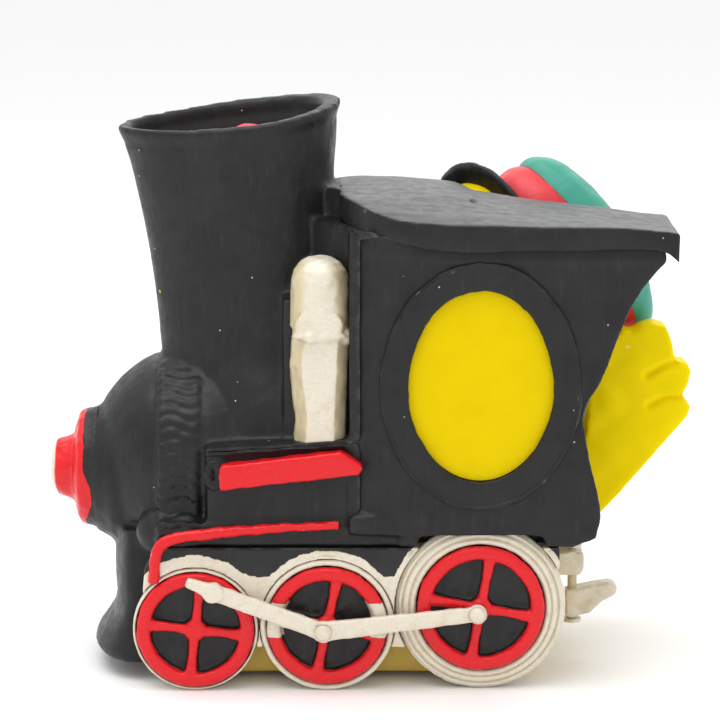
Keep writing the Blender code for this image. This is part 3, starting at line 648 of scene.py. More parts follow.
def carved(mesh, depth):
    """Moves each point of a mesh along its normal by depth(points, normals), in millimetres."""
    count = len(mesh.vertices)
    points = np.empty(count * 3, np.float32)
    normals = np.empty(count * 3, np.float32)
    mesh.vertices.foreach_get("co", points)
    mesh.vertex_normals.foreach_get("vector", normals)
    points = points.reshape(-1, 3).astype(float)
    normals = normals.reshape(-1, 3).astype(float)
    moved = points + normals * depth(points, normals)[:, None]
    mesh.vertices.foreach_set("co", moved.astype(np.float32).ravel())
    mesh.update()
    return mesh


def step(low, high, value):
    """Smooth step from 0 at low to 1 at high."""
    share = np.clip((value - low) / (high - low), 0.0, 1.0)
    return share * share * (3 - 2 * share)


def ripple(points, size, seed=0.0):
    """Gentle waves of about this size, between -1 and 1."""
    x, y, z = (points * (2 * math.pi / size)).T
    first = np.sin(x + 1.3 * np.sin(0.7 * z + seed) + seed) * np.sin(0.8 * y + 0.6 * z + 2.1 * seed)
    second = np.sin(0.6 * z - 0.5 * x + 1.7 * np.sin(0.9 * y + seed) + 0.7 * seed)
    return 0.6 * first + 0.4 * second


def roughen(mesh, *waves):
    """Carves ripples, each given as height, size and seed."""


    def depth(points, normals):
        return sum(height * ripple(points, size, seed) for height, size, seed in waves)

    carved(mesh, depth)


def near_segment(points, start, end):
    """Distance in the XZ plane from points to a segment."""
    flat = points[:, [0, 2]]
    start = np.array(start)
    run = np.array(end) - start
    share = np.clip(((flat - start) @ run) / (run @ run), 0.0, 1.0)
    return np.linalg.norm(flat - start - share[:, None] * run, axis=1)


def near_path(points, path):
    return np.min([near_segment(points, a, b) for a, b in zip(path, path[1:])], axis=0)


def piece(name, mesh, finish, nodes, body="locomotive", origin=None):
    """Puts a finished mesh in the scene as a piece that rides on a body and stands for CAD nodes."""
    centre = Vector(origin) if origin else Vector((0, 0, 0))
    mesh.transform(Matrix.Translation(DATUM) @ Matrix.Scale(MM, 4))
    world = DATUM + centre * MM if origin else Vector((0, 0, 0))
    mesh.transform(Matrix.Translation(-world))
    mesh.name = name
    mesh.materials.clear()
    mesh.materials.append(MATERIALS[finish])
    mesh.shade_smooth()
    mesh.set_sharp_from_angle(angle=math.radians(50))
    obj = bpy.data.objects.new(name, mesh)
    bpy.context.scene.collection.objects.link(obj)
    obj.location = world
    bpy.context.view_layer.update()
    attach(obj, body)
    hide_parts(*nodes)


# Black body


def arch(radius, bottom, count=64):
    points = [
        (radius * math.cos(math.pi * i / count), BOILER_AXIS + radius * math.sin(math.pi * i / count))
        for i in range(count + 1)
    ]
    return points + [(-radius, bottom), (radius, bottom)]


def mouth_lean(y):
    """How far the chimney's mouth leans at this Y, for a slope of one along X."""
    return 0.71 * y - 0.021 * y * y


def egg_ring(front_x, rear_x, half_width, z, tilt, count=96):
    middle = (front_x + rear_x) / 2
    radius = (rear_x - front_x) / 2
    ring = []
    for i in range(count):
        angle = 2 * math.pi * i / count
        x = middle + radius * math.cos(angle)
        y = half_width * math.sin(angle) * (1 + 0.22 * math.cos(angle)) / 1.03
        ring.append((x, y, z + tilt * (x - front_x) + tilt * mouth_lean(y)))
    return ring


# Height at the front, front X, rear X, half width and slope of the chimney's sections.
CHIMNEY = [
    (50.0, -41.2, -2.0, 21.0, 0.0),
    (56.0, -41.3, -2.0, 20.0, 0.0),
    (61.0, -41.5, -2.2, 17.6, 0.0),
    (66.0, -41.7, -2.4, 15.2, 0.0),
    (72.0, -42.0, -2.6, 14.0, 0.0),
    (79.0, -42.6, -2.9, 13.6, 0.01),
    (88.5, -44.1, -3.9, 13.8, 0.03),
    (99.0, -46.1, -5.4, 14.4, 0.07),
    (106.5, -47.7, -4.9, 15.2, 0.10),
    (110.8, -49.2, -4.6, 15.8, 0.115),
    (113.1, -49.9, -4.1, 16.1, 0.118),
]


def smooth_rows(rows, count):
    """Rows of numbers joined by a smooth curve through them, sampled evenly."""
    table = np.array(rows)
    at = np.linspace(0, len(table) - 1, count)
    out = []
    for value in at:
        i = min(int(value), len(table) - 2)
        t = value - i
        p0 = table[max(i - 1, 0)]
        p1, p2 = table[i], table[i + 1]
        p3 = table[min(i + 2, len(table) - 1)]
        out.append(0.5 * (2 * p1 + (p2 - p0) * t + (2 * p0 - 5 * p1 + 4 * p2 - p3) * t**2
                          + (3 * p1 - p0 - 3 * p2 + p3) * t**3))
    return out


def chimney_shape():
    wall = 1.9
    floor = 100.0
    rows = smooth_rows(CHIMNEY, 40)
    rings = [egg_ring(front, rear, half, z, tilt) for z, front, rear, half, tilt in rows]
    heights = [row[0] for row in CHIMNEY]
    for z, extra in ((CHIMNEY[-1][0], 0.0), (110.0, 0.3), (106.0, 0.9), (floor, 1.7)):
        front, rear, half, tilt = [np.interp(z, heights, [row[i] for row in CHIMNEY]) for i in (1, 2, 3, 4)]
        inset = wall + extra
        slope = 0.0 if z == floor else tilt
        rings.append(egg_ring(front + inset, rear - inset - 1.6, half - inset, z, slope))
    return loft(rings)


# X, Z of the cab wall's rear edge, from the bottom up.
WALL_REAR_EDGE = [
    (47.8, 32.0), (48.8, 36.5), (48.1, 41.0), (46.6, 47.0), (45.3, 53.5), (45.2, 57.0), (46.0, 60.0),
    (48.0, 63.5), (49.5, 67.2), (51.8, 74.0), (54.0, 79.4), (56.4, 83.4), (59.4, 87.2), (61.0, 88.9)]
WALL_BOTTOM = [(-2.1, 33.0), (13.0, 32.4), (17.0, 32.7), (36.0, 32.7), (43.0, 30.4)]


def cab_shapes():
    near = WALL_BOTTOM + WALL_REAR_EDGE + [
        (60.5, 92.0), (44.0, 92.2), (20.0, 92.0), (7.6, 93.8), (-2.1, 95.4)]
    hole = [radius + 0.3 for radius in WINDOW_INNER]
    far = WALL_BOTTOM + WALL_REAR_EDGE[:6] + [
        (18.0, 57.0), (13.6, 61.0), (12.4, 66.0), (12.4, 93.0), (7.6, 93.8), (-2.1, 95.4)]
    return [
        prism_y([near, ellipse(WINDOW, hole)], -WALL_OUTER, -WALL_INNER),
        prism_y([far], WALL_INNER, WALL_OUTER),
        block((-2.1, -26.1, 35.4), (0.6, 26.1, 93.0)),
        block((-2.1, -27.0, 35.4), (45.0, 27.0, 37.6)),
    ]


def pilot_shape():
    # Height, front X, half width.
    stations = [
        (31.0, -51.2, 17.0),
        (26.0, -51.6, 17.2),
        (20.0, -51.7, 17.8),
        (15.0, -51.4, 18.4),
        (11.5, -52.2, 19.2),
        (8.5, -54.2, 20.2),
        (6.0, -56.0, 21.0),
        (4.6, -56.4, 21.2),
        (3.7, -55.4, 20.8),
    ]
    rings = []
    for z, front_x, half in reversed(stations):
        rear_x = -46.8
        nose = ellipse((rear_x, 0), (rear_x - front_x, half), 40, 90, 270)
        tail = [(-41.0, -min(half, 19.6)), (-41.0, min(half, 19.6))]
        rings.append([(x, y, z) for x, y in nose + tail])
    return loft(rings)


def tank_shapes(side):
    tank = [(-31.0, 34.0), (1.0, 34.0), (1.0, 51.4), (-31.0, 49.2)]
    ledge = [(-31.4, 49.1), (0.6, 51.3), (1.2, 52.4), (-31.2, 50.3)]
    return [
        prism_y([tank], side * 17.0, side * 25.6),
        prism_y([ledge], side * 20.0, side * 27.0),
        ball((-37.5, side * 19.0, 31.5), (8.5, 6.4, 6.5)),
        ball((-29.6, side * 26.0, 44.8), (2.2, 2.0, 2.9)),
    ]


def black_body():
    bracket = [(0, 56.0), (11.6, 56.0), (12.9, 55.6), (13.6, 54.4), (14.4, 53.0), (15.4, 51.6)]
    bracket += [(16.0, 45.0), (0, 45.0)]
    shapes = [
        ball((-33.5, 0, BOILER_AXIS), (23.4, 22.2, 23.4)),
        turned(bracket, (0, 0, LAMP_AXIS), (-1, 0, 0)),
        prism_x(arch(21.4, 34.0), -40.0, -1.0),
        prism_x(arch(22.3, 30.5), -41.2, -32.8),
        block((-41.3, -26.2, 29.9), (10.0, 26.2, 34.8)),
        block((8.0, -23.2, 30.1), (46.4, 23.2, 35.6)),
        block((8.0, -27.2, 29.9), (11.9, 27.2, 33.6)),
        block((37.4, -27.2, 29.9), (43.6, 27.2, 33.6)),
        chimney_shape(),
        pilot_shape(),
        block((-15.5, -21.5, 36.0), (-1.0, 21.5, 80.0)),
        ball((-8.0, 0, 80.0), (7.6, 21.0, 9.0)),
        prism_z([(-9.0, -6.5), (-0.5, -13.4), (-0.5, 13.4), (-9.0, 6.5)], 70.0, 101.0),
        prism_z([(-11.0, -9.5), (2.5, -26.1), (2.5, 26.1), (-11.0, 9.5)], 50.0, 95.0),
    ]
    shapes += cab_shapes()
    for side in SIDES.values():
        shapes += tank_shapes(side)
    mesh = fuse(shapes, 0.62, 5)

    def relief(points, normals):
        x, y, z = points.T
        reach = np.hypot(y, z - BOILER_AXIS)
        angle = np.degrees(np.arctan2(z - BOILER_AXIS, np.abs(y)))
        depth = 0.10 * ripple(points, 23.0, 1.0) + 0.05 * ripple(points, 9.0, 2.0)
        # Ribs round the smokebox band, uneven as if pressed by hand.
        on_band = step(-42.2, -40.6, x) * step(-32.4, -33.6, x) * step(20.0, 21.0, reach)
        along = np.where(z < BOILER_AXIS, (z - BOILER_AXIS) * 2.65, angle)
        phase = along / 6.4 + 0.22 * np.sin(x * 0.9 + along * 0.05) + 0.05 * (x + 37.0)
        ribs = np.abs(np.sin(math.pi * phase)) ** 0.7 - 0.6
        strength = (0.42 + 0.4 * step(50.0, 42.0, z)) * step(65.5, 62.0, z)
        depth += on_band * (strength * ribs + 0.15 * ripple(points, 4.0, 3.0) * step(66.0, 62.0, z))
        # Shallow groove behind the band, and one on its front.
        groove = np.exp(-((x + 32.2) / 0.7) ** 2) + 0.6 * np.exp(-((x + 42.1) / 0.6) ** 2)
        depth -= 0.35 * groove * step(19.0, 20.5, reach) * step(70.0, 66.0, z) * step(32.0, 36.0, z)
        # Crease between the window ring and the cab's rear edge.
        on_wall = step(26.4, 27.4, np.abs(y)) * step(36.0, 38.0, z)
        valley = np.exp(-(near_segment(points, (46.5, 68.0), (44.2, 56.0)) / 1.5) ** 2)
        depth -= 0.7 * valley * on_wall
        # The wall's front end rounds inwards.
        depth -= 2.1 * step(7.0, -1.5, x) * on_wall
        # A slight bead under the roof.
        bead = near_path(points, [(0.0, 91.6), (8.0, 90.2), (20.0, 88.9), (44.0, 89.2), (58.0, 89.4)])
        depth += 0.35 * np.exp(-(bead / 0.9) ** 2) * on_wall
        # Chimney's lip.
        lip_z, lip_x, _, _, slope = CHIMNEY[-1]
        below = lip_z + slope * (x - lip_x + mouth_lean(y)) - z
        outer = step(60.0, 80.0, z)
        depth += 0.25 * np.exp(-((below - 1.0) / 1.1) ** 2) * outer
        depth -= 0.12 * np.exp(-((below - 3.4) / 0.7) ** 2) * outer
        return depth

    carved(mesh, relief)
    nodes = ["boiler", "smokebox_band", "smokebox_front", "lamp_bracket", "chimney", "footplate", "pilot"]
    nodes += ["side_tank_near", "side_tank_far", "cab"]
    piece("black_body", mesh, "black", nodes)


def roof():
    # X, crest height, half width, height of the edge's top and of its bottom.
    stations = [
        (-4.2, 101.3, 13.4, 100.4, 95.6),
        (-2.4, 101.4, 18.6, 100.0, 94.9),
        (0.5, 101.5, 23.5, 99.3, 94.2),
        (4.0, 101.5, 26.7, 98.2, 93.3),
        (9.0, 101.4, 28.7, 97.0, 92.2),
        (20.0, 100.3, 29.3, 96.3, 90.7),
        (33.7, 98.3, 29.3, 96.1, 90.9),
        (44.4, 96.8, 29.3, 96.0, 91.1),
        (53.0, 95.9, 29.3, 95.8, 91.4),
        (60.0, 95.0, 29.1, 95.1, 91.0),
        (62.6, 94.8, 28.7, 94.7, 89.4),
        (63.5, 94.5, 28.3, 94.3, 88.4),
    ]
    rows = smooth_rows(stations, 60)
    steps = 40
    rings = []
    for x, crest, half, edge_top, edge_bottom in rows:
        top = []
        under = []
        under_edge = edge_bottom + 0.6
        under_crest = max(crest - 3.0, under_edge)
        for i in range(steps + 1):
            across = -1 + 2 * i / steps
            rise = 1 - abs(across) ** 2.2
            top.append((x, half * across, edge_top + (crest - edge_top) * rise))
            under.append((x, (half - 3.2) * across, under_edge + (under_crest - under_edge) * rise))
        lips = [(x, half + 0.2, edge_bottom + 2.4), (x, half, edge_bottom), (x, half - 3.2, edge_bottom)]
        near_lips = [(x, -y, z) for x, y, z in reversed(lips)]
        rings.append(top + lips + under[::-1] + near_lips)
    opening = prism_z([(9.0, 40.0), (24.0, -2.0), (80.0, -2.0), (80.0, 40.0)], 80.0, 110.0)
    mesh = fuse([cut(loft(rings), [opening])], 0.42, 2)

    def relief(points, normals):
        x, y, z = points.T
        depth = 0.12 * ripple(points, 19.0, 4.0) + 0.03 * ripple(points, 7.0, 5.0)
        chip = np.hypot(x - 23.0, (y + 14.0) * 0.6)
        return depth - 0.7 * step(0.9, 0.3, chip) * step(0.5, 0.8, normals[:, 2])

    carved(mesh, relief)
    piece("roof", mesh, "roof", ["cab_roof"])


def window():
    """Raised oval ring round the window, and the recessed yellow panel."""
    path = []
    middle = [(a + b) / 2 for a, b in zip(WINDOW_OUTER, WINDOW_INNER)]
    half = (WINDOW_OUTER[0] - WINDOW_INNER[0]) / 2
    for i in range(160):
        angle = 2 * math.pi * i / 160
        x = WINDOW[0] + middle[0] * math.cos(angle)
        z = WINDOW[1] + middle[1] * math.sin(angle)
        out = Vector((middle[1] * math.cos(angle), 0, middle[0] * math.sin(angle))).normalized()
        path.append(((x, -WALL_OUTER, z), out))
    section = [(-half, 0.5), (-half, -0.35), (-half + 0.2, -0.6), (-half + 0.6, -0.7), (-0.6, -0.72)]
    section += [(half - 1.3, -0.66), (half - 0.95, -0.62), (half - 0.65, -0.95), (half - 0.35, -1.02)]
    section += [(half - 0.05, -0.8), (half + 0.05, -0.3), (half, 0.5)]
    mesh = finer(ring_body(path, section), 1)

    def relief(points, normals):
        ragged = 0.22 * ripple(points, 13.0, 2.0) + 0.10 * ripple(points, 3.4, 1.0)
        return ragged * step(0.5, 0.9, np.abs(normals[:, 0]) + np.abs(normals[:, 2]))

    carved(mesh, relief)
    piece("window_ring", mesh, "black", ["window_frame_near"])
    panel = prism_y([ellipse(WINDOW, [radius + 0.2 for radius in WINDOW_INNER], 128)], -27.3, -26.4)
    piece("window_panel", panel, "yellow", ["window_panel_near"])


def lamp():
    axis_point = (0, 0, LAMP_AXIS + 0.3)
    profile = [(0, 64.4), (4.6, 64.2), (5.9, 63.8), (6.3, 62.8), (6.7, 61.4), (7.0, 60.6), (7.5, 60.1)]
    profile += [(9.4, 59.6), (11.3, 59.0), (12.0, 58.5), (12.3, 57.6), (12.6, 56.2), (13.2, 54.8)]
    profile += [(0, 54.8)]
    mesh = fuse([turned(profile, axis_point, (-1, 0, 0))], 0.32, 3)
    roughen(mesh, (0.20, 9.0, 3.0), (0.07, 3.5, 1.0))
    piece("lamp", mesh, "lamp", ["lamp_body"])
    face = [(0, 65.2), (2.4, 65.1), (4.0, 64.8), (5.0, 64.2), (5.3, 63.4), (0, 63.2)]
    lens = fuse([turned(face, (0, 0, LAMP_AXIS + 0.2), (-1, 0, 0))], 0.3, 2)
    roughen(lens, (0.15, 5.0, 1.0))
    piece("lamp_lens_face", lens, "silver", ["lamp_lens"])


def ember():
    coals = [ball((-22.6, 4.6, 101.0), (9.0, 6.2, 11.9)), ball((-20.0, -1.0, 101.0), (7.0, 6.0, 9.5))]
    mesh = fuse(coals, 0.5, 4)
    roughen(mesh, (0.15, 6.0, 1.0))
    piece("ember", mesh, "red", ["chimney_ember"])


# Side of the boiler


def boiler_fittings(side_name, side):
    outline = [(-28.3, 42.2), (-13.5, 43.9), (-0.4, 45.4), (0.6, 46.6), (0.2, 47.6)]
    outline += [(-2.0, 49.0), (-3.9, 50.2), (-15.0, 48.8), (-28.0, 47.3), (-28.5, 45.0)]
    rail = fuse([prism_y([outline], side * 25.0, side * 28.8)], 0.38, 3)
    roughen(rail, (0.12, 6.0, 1.0), (0.05, 2.4, 2.0))
    piece(f"tank_rail_{side_name}_bar", rail, "red", [f"tank_rail_{side_name}"])

    route = [(-41.9, 22.6), (-41.8, 25.0), (-41.6, 28.2), (-40.4, 30.7), (-37.9, 32.0), (-31.9, 32.8)]
    route += [(-22.7, 33.7), (-13.5, 34.3), (-4.0, 34.7)]
    bar = fuse([tube([(x, side * 27.0, z) for x, z in route], 1.2)], 0.3, 2)

    def hand_made(points, normals):
        taper = -0.35 * step(-34.0, -8.0, points[:, 0])
        return taper + 0.14 * ripple(points, 5.0, 1.0) + 0.07 * ripple(points, 1.9, 2.0)

    carved(bar, hand_made)
    piece(f"handrail_{side_name}_bar", bar, "red", [f"handrail_{side_name}"])

    bell_profile = [(0, 88.9), (2.2, 88.7), (4.0, 87.8), (5.2, 86.3), (5.8, 84.2), (6.0, 81.0)]
    bell_profile += [(6.1, 74.6), (0, 74.6)]
    bell = turned(bell_profile, (-8.1, side * 20.6, 0), (0, 0, 1))
    # Height and the two edges of the pipe, which swells a little below the bell.
    pipe_rows = [
        (50.9, -13.8, -2.6),
        (55.6, -13.4, -2.5),
        (59.5, -13.8, -2.4),
        (63.4, -14.3, -2.2),
        (67.3, -14.5, -2.0),
        (70.5, -14.2, -1.9),
        (74.3, -13.8, -1.8),
    ]
    pipe_rings = []
    for z, left, right in pipe_rows:
        edges = [(left, 19.0), (left + 0.4, 23.2), (left + 2.9, 26.0)]
        edges += [(right - 2.7, 26.0), (right - 0.5, 23.2), (right, 19.0)]
        pipe_rings.append([(x, side * y, z) for x, y in edges])
    pipe = loft(pipe_rings)
    shapes = [
        bell,
        pipe,
        ball((-8.3, side * 25.9, 75.4), (5.0, 0.9, 3.6)),
        ball((-8.2, side * 25.7, 73.4), (5.6, 1.4, 1.2)),
        ball((-10.0, side * 26.6, 73.2), (1.6, 0.9, 1.2)),
        ball((-2.6, side * 23.6, 72.9), (1.7, 1.8, 1.5)),
        block((-12.0, min(side * 19.0, side * 24.0), 70.0), (-5.0, max(side * 19.0, side * 24.0), 77.0)),
    ]
    mesh = fuse(shapes, 0.38, 3)

    def poured(points, normals):
        under = step(55.0, 51.0, points[:, 2]) * step(0.3, 0.8, -normals[:, 2])
        bottom = under * (0.8 * ripple(points, 5.0, 4.0) - 0.10 * (points[:, 0] + 10.0))
        return bottom + 0.16 * ripple(points, 8.0, 1.0) + 0.09 * ripple(points, 3.4, 2.0)

    carved(mesh, poured)
    piece(f"whistle_{side_name}_body", mesh, "whistle", [f"whistle_{side_name}"])


# Running gear


def frame_material():
    """Pearl silver round the wheels, black above a brushed line."""
    paint = Paint("frame_paint")
    x, y, z = paint.split()
    spread = None
    for name, wheel in WHEELS.items():
        centre = DATUM + Vector((wheel["x"], 0, wheel["z"])) * MM
        flat = paint.node("ShaderNodeCombineXYZ", {"X": x, "Z": z}).outputs[0]
        away = paint.vector("DISTANCE", flat, centre)
        band = paint.less(away, (wheel["tyre"] + SILVER_WIDTH[name]) * MM)
        spread = band if spread is None else paint.maths("MINIMUM", spread, band)
    lower = paint.less(z, NOTCH_HEIGHT * MM)
    spread = paint.maths("MINIMUM", spread, lower)
    ragged = paint.ragged(2.4, 4.0, 1.5)
    black = paint.ramp(paint.maths("ADD", spread, ragged), 0.0, 0.15 * MM)
    layers = mix_layers(paint, black, silver_layers(paint), black_layers(paint))
    return paint.finish(*layers, Specular_IOR_Level=0.4)


def underside():
    """Base between the wheels, its ends kept behind the end wheels."""
    inner = {name: (wheel["x"], wheel["z"], wheel["tyre"] - 0.6) for name, wheel in WHEELS.items()}
    lower = []
    for x in np.linspace(-41.2, 40.2, 90):
        bottom = 1.5
        for name, beyond in (("front", -1), ("rear", 1)):
            centre_x, centre_z, radius = inner[name]
            past = (x - centre_x) * beyond
            if past > 0:
                bottom = max(bottom, centre_z - math.sqrt(max(radius**2 - past**2, 0.0)))
        lower.append((float(x), bottom))
    mesh = fuse([prism_y([lower + [(40.2, 29.8), (-41.2, 29.8)]], -19.8, 19.8)], 0.8, 2)
    roughen(mesh, (0.14, 12.0, 2.0))
    # The base gets the darker, shaded yellow.
    piece("underside", mesh, "underside_shade", ["underframe"])


def side_frame(side_name, side):
    lower = []
    for x in np.linspace(-45.4, 40.6, 120):
        heights = []
        for wheel in WHEELS.values():
            radius = wheel["tyre"] - 0.5
            offset = x - wheel["x"]
            if abs(offset) < radius:
                heights.append(wheel["z"] - math.sqrt(radius**2 - offset**2))
        if WHEELS["front"]["x"] < x < WHEELS["rear"]["x"]:
            heights.append(9.0)
        lower.append((float(x), min(heights)))
    outline = lower + [(40.6, 29.9), (-39.6, 29.9), (-42.0, 28.4), (-43.8, 25.6)]
    wells = []
    for wheel in WHEELS.values():
        radius = wheel["tyre"] + 0.15
        disc = ellipse((wheel["x"], wheel["z"]), (radius, radius), 128)
        wells.append(prism_y([disc], side * 20.0, side * 30.0))
    skirt = cut(prism_y([outline], side * 21.5, side * SKIRT_FACE), wells)
    plate = prism_y([outline], side * 20.4, side * 23.3)
    mesh = fuse([plate, skirt], 0.38, 2)

    def relief(points, normals):
        outward = step(0.4, 0.8, side * normals[:, 1]) * step(25.0, 26.0, side * points[:, 1])
        lean = 0.7 * step(25.0, 29.6, points[:, 2])
        waves = 0.10 * ripple(points, 8.0, 1.0) + 0.06 * ripple(points, 3.0, 2.0)
        return outward * (waves - lean)

    carved(mesh, relief)
    piece(f"side_frame_{side_name}_skirt", mesh, "frame", [f"side_frame_{side_name}"])


def wheel_shapes(name, wheel, side):
    """Dished wheel centre with a round rim, tapered spokes and a hub, with its axle at the origin."""
    rim = wheel["rim"]
    hole = rim - RIM_WIDTH
    face = WHEEL_FACE
    web = 26.0
    axis = (0, side, 0)
    profile = [(0, web), (hole, web), (hole + 0.15, face - 0.6), (hole + 0.6, face - 0.1), (rim - 1.4, face)]
    profile += [(rim - 0.4, face - 0.25), (rim, face - 0.8), (rim, 24.2), (0, 24.2)]
    shapes = [turned(profile, (0, 0, 0), axis)]
    for quarter in range(4):
        angle = math.radians(90.0 * quarter - SPOKE_TURN[name])
        along = Vector((math.cos(angle), 0, math.sin(angle)))
        across = Vector((-math.sin(angle), 0, math.cos(angle)))
        rings = []
        stations = [(0.0, 1.25), (2.6, 1.0), (hole * 0.6, 0.9), (hole - 0.6, 1.15), (hole + 1.2, 1.5)]
        for reach, width in stations:
            ring = []
            for out, depth in ((1.1, web - 0.8), (0.95, face - 0.8), (0.5, face - 0.4)):
                ring.append(along * reach + across * width * out + Vector((0, side * depth, 0)))
            for out, depth in ((-0.5, face - 0.4), (-0.95, face - 0.8), (-1.1, web - 0.8)):
                ring.append(along * reach + across * width * out + Vector((0, side * depth, 0)))
            rings.append(ring)
        shapes.append(loft(rings))
    hub = [(0, face), (1.4, face), (2.2, face - 0.6), (2.4, web - 1), (0, web - 1)]
    shapes.append(turned(hub, (0, 0, 0), axis))
    return shapes


def wheelset(name):
    wheel = WHEELS[name]
    body = f"wheelset_{name}"
    centre = (wheel["x"], 0, wheel["z"])
    for side_name, side in SIDES.items():
        mesh = fuse(wheel_shapes(name, wheel, side), 0.30, 2)
        roughen(mesh, (0.10, 5.0, 1.0), (0.05, 2.4, 2.0))
        mesh.transform(Matrix.Translation(centre))
        finish = "wheel_middle" if name == "middle" else "wheel"
        piece(f"wheel_{name}_{side_name}_disc", mesh, finish, [f"wheel_{name}_{side_name}"], body, centre)

        outer = wheel["tyre"]
        inner = wheel["rim"] + 0.1
        if name == "rear":
            steps = [(0.9, 27.6), (1.2, 27.3), (1.35, 26.7), (1.55, 26.7), (1.75, 27.2), (2.35, 27.0)]
            steps += [(2.6, 26.8), (2.75, 26.2), (2.95, 26.2), (3.15, 26.7), (3.6, 26.5)]
            steps.append((outer - inner - 0.5, 26.0))
        else:
            steps = [((outer - inner) * 0.5, 27.6)]
        section = [(0.0, side * 24.2), (0.0, side * 27.3)]
        section += [(out, side * depth) for out, depth in steps]
        last = steps[-1][1]
        thick = outer - inner
        section += [(thick - 0.15, side * (last - 0.2)), (thick, side * (last - 0.7)),
                    (thick, side * 24.4), (thick - 0.4, side * TYRE_BACK), (0.2, side * TYRE_BACK)]
        path = []
        for i in range(144):
            angle = 2 * math.pi * i / 144
            out = Vector((math.cos(angle), 0, math.sin(angle)))
            path.append((out * inner, out))
        mesh = finer(ring_body(path, section), 2)
        roughen(mesh, (0.06, 6.0, 1.0), (0.04, 2.4, 2.0))
        mesh.transform(Matrix.Translation(centre))
        piece(f"tyre_{name}_{side_name}_ring", mesh, "silver", [f"tyre_{name}_{side_name}"], body, centre)
        if name != "front":
            crank_pin(name, side_name, side, body)


def crank_pin(name, side_name, side, body):
    low, high = local_box(f"crank_pin_{name}_{side_name}")
    middle = (low + high) / 2
    inner = min(abs(low.y), abs(high.y))
    outer = max(abs(low.y), abs(high.y))
    profile = [(0, outer), (0.8, outer - 0.05), (1.4, outer - 0.3), (1.7, outer - 0.7), (1.7, outer - 0.9),
               (1.0, outer - 0.9), (1.0, inner - 0.5), (0, inner - 0.5)]
    mesh = turned(profile, (middle.x, 0, middle.z), (0, side, 0), 48)
    roughen(mesh, (0.05, 2.0, 1.0))
    piece(f"crank_pin_{name}_{side_name}_head", mesh, "silver", [f"crank_pin_{name}_{side_name}"], body)


def side_rod(side_name, side):
    pins = {}
    for name in ("middle", "rear"):
        low, high = local_box(f"crank_pin_{name}_{side_name}")
        pins[name] = ((low.x + high.x) / 2, (low.z + high.z) / 2)
    middle, rear = pins["middle"], pins["rear"]
    boss = (middle[0] - 22.3, middle[1] + 8.3)
    tip = (middle[0] - 27.6, middle[1] + 10.4)
    y_low, y_high = 29.25, 30.75

    def bar(start, end, wide_start, wide_end):
        run = Vector((end[0] - start[0], end[1] - start[1])).normalized()
        across = Vector((-run.y, run.x))
        corners = [
            Vector(start) + across * wide_start, Vector(end) + across * wide_end,
            Vector(end) - across * wide_end, Vector(start) - across * wide_start]
        return prism_y([[tuple(corner) for corner in corners]], side * y_low, side * y_high)

    def disc(centre, radius, low=y_low, high=y_high):
        return prism_y([ellipse(centre, (radius, radius), 40)], side * low, side * high)

    shapes = [
        bar(middle, rear, 2.0, 1.55), bar(middle, boss, 1.8, 1.7), bar(boss, tip, 1.7, 0.9),
        disc(middle, 2.3), disc(rear, 2.0), disc(boss, 2.1, y_low, y_high + 0.7)]
    eyes = [disc(centre, 1.3, 25.0, 35.0) for centre in (middle, rear)]
    mesh = fuse([cut(fuse(shapes, 0.3, 0), eyes)], 0.27, 3)
    roughen(mesh, (0.10, 5.0, 1.0), (0.05, 2.0, 2.0))
    node = f"side_rod_{side_name}"
    piece(f"{node}_bar", mesh, "silver", [node], f"{node}_body")


def coupling():
    arm = [(43.7, 8.2), (45.2, 8.0), (48.9, 9.1), (51.2, 11.3), (53.0, 12.4), (54.5, 13.3), (54.7, 14.6),
           (54.0, 15.6), (52.8, 15.8), (49.5, 15.2), (46.2, 14.4), (43.7, 14.0)]
    hook = fuse([prism_y([arm], -2.1, 2.1)], 0.35, 4)
    roughen(hook, (0.15, 4.0, 1.0))
    piece("drawhook_arm", hook, "silver", ["drawhook"], "drawhook_body")
    lug = [(39.4, 17.7), (46.6, 17.6), (47.5, 19.0), (47.3, 22.4), (45.0, 22.9), (39.4, 21.9)]
    bracket = fuse([prism_y([lug], -3.2, 3.2)], 0.35, 3)
    roughen(bracket, (0.12, 4.0, 2.0))
    piece("draw_bracket_lug", bracket, "silver", ["draw_bracket"])


# Driver


BRIM_CENTRE = Vector((27.0, 15.0, 88.2))
CROWN_CENTRE = Vector((47.8, 16.0, 85.1))
HEAD_CENTRE = Vector((27.0, 15.0, 87.6))
HEAD_RADIUS = 12.3


def slanted_axes(slope, normal):
    """Axes of a tilted shape: down the slope, across it, and along its normal."""
    normal = Vector(normal).normalized()
    slope = Vector(slope)
    slope = (slope - normal * slope.dot(normal)).normalized()
    return Matrix((slope, normal.cross(slope), normal)).transposed().to_4x4()


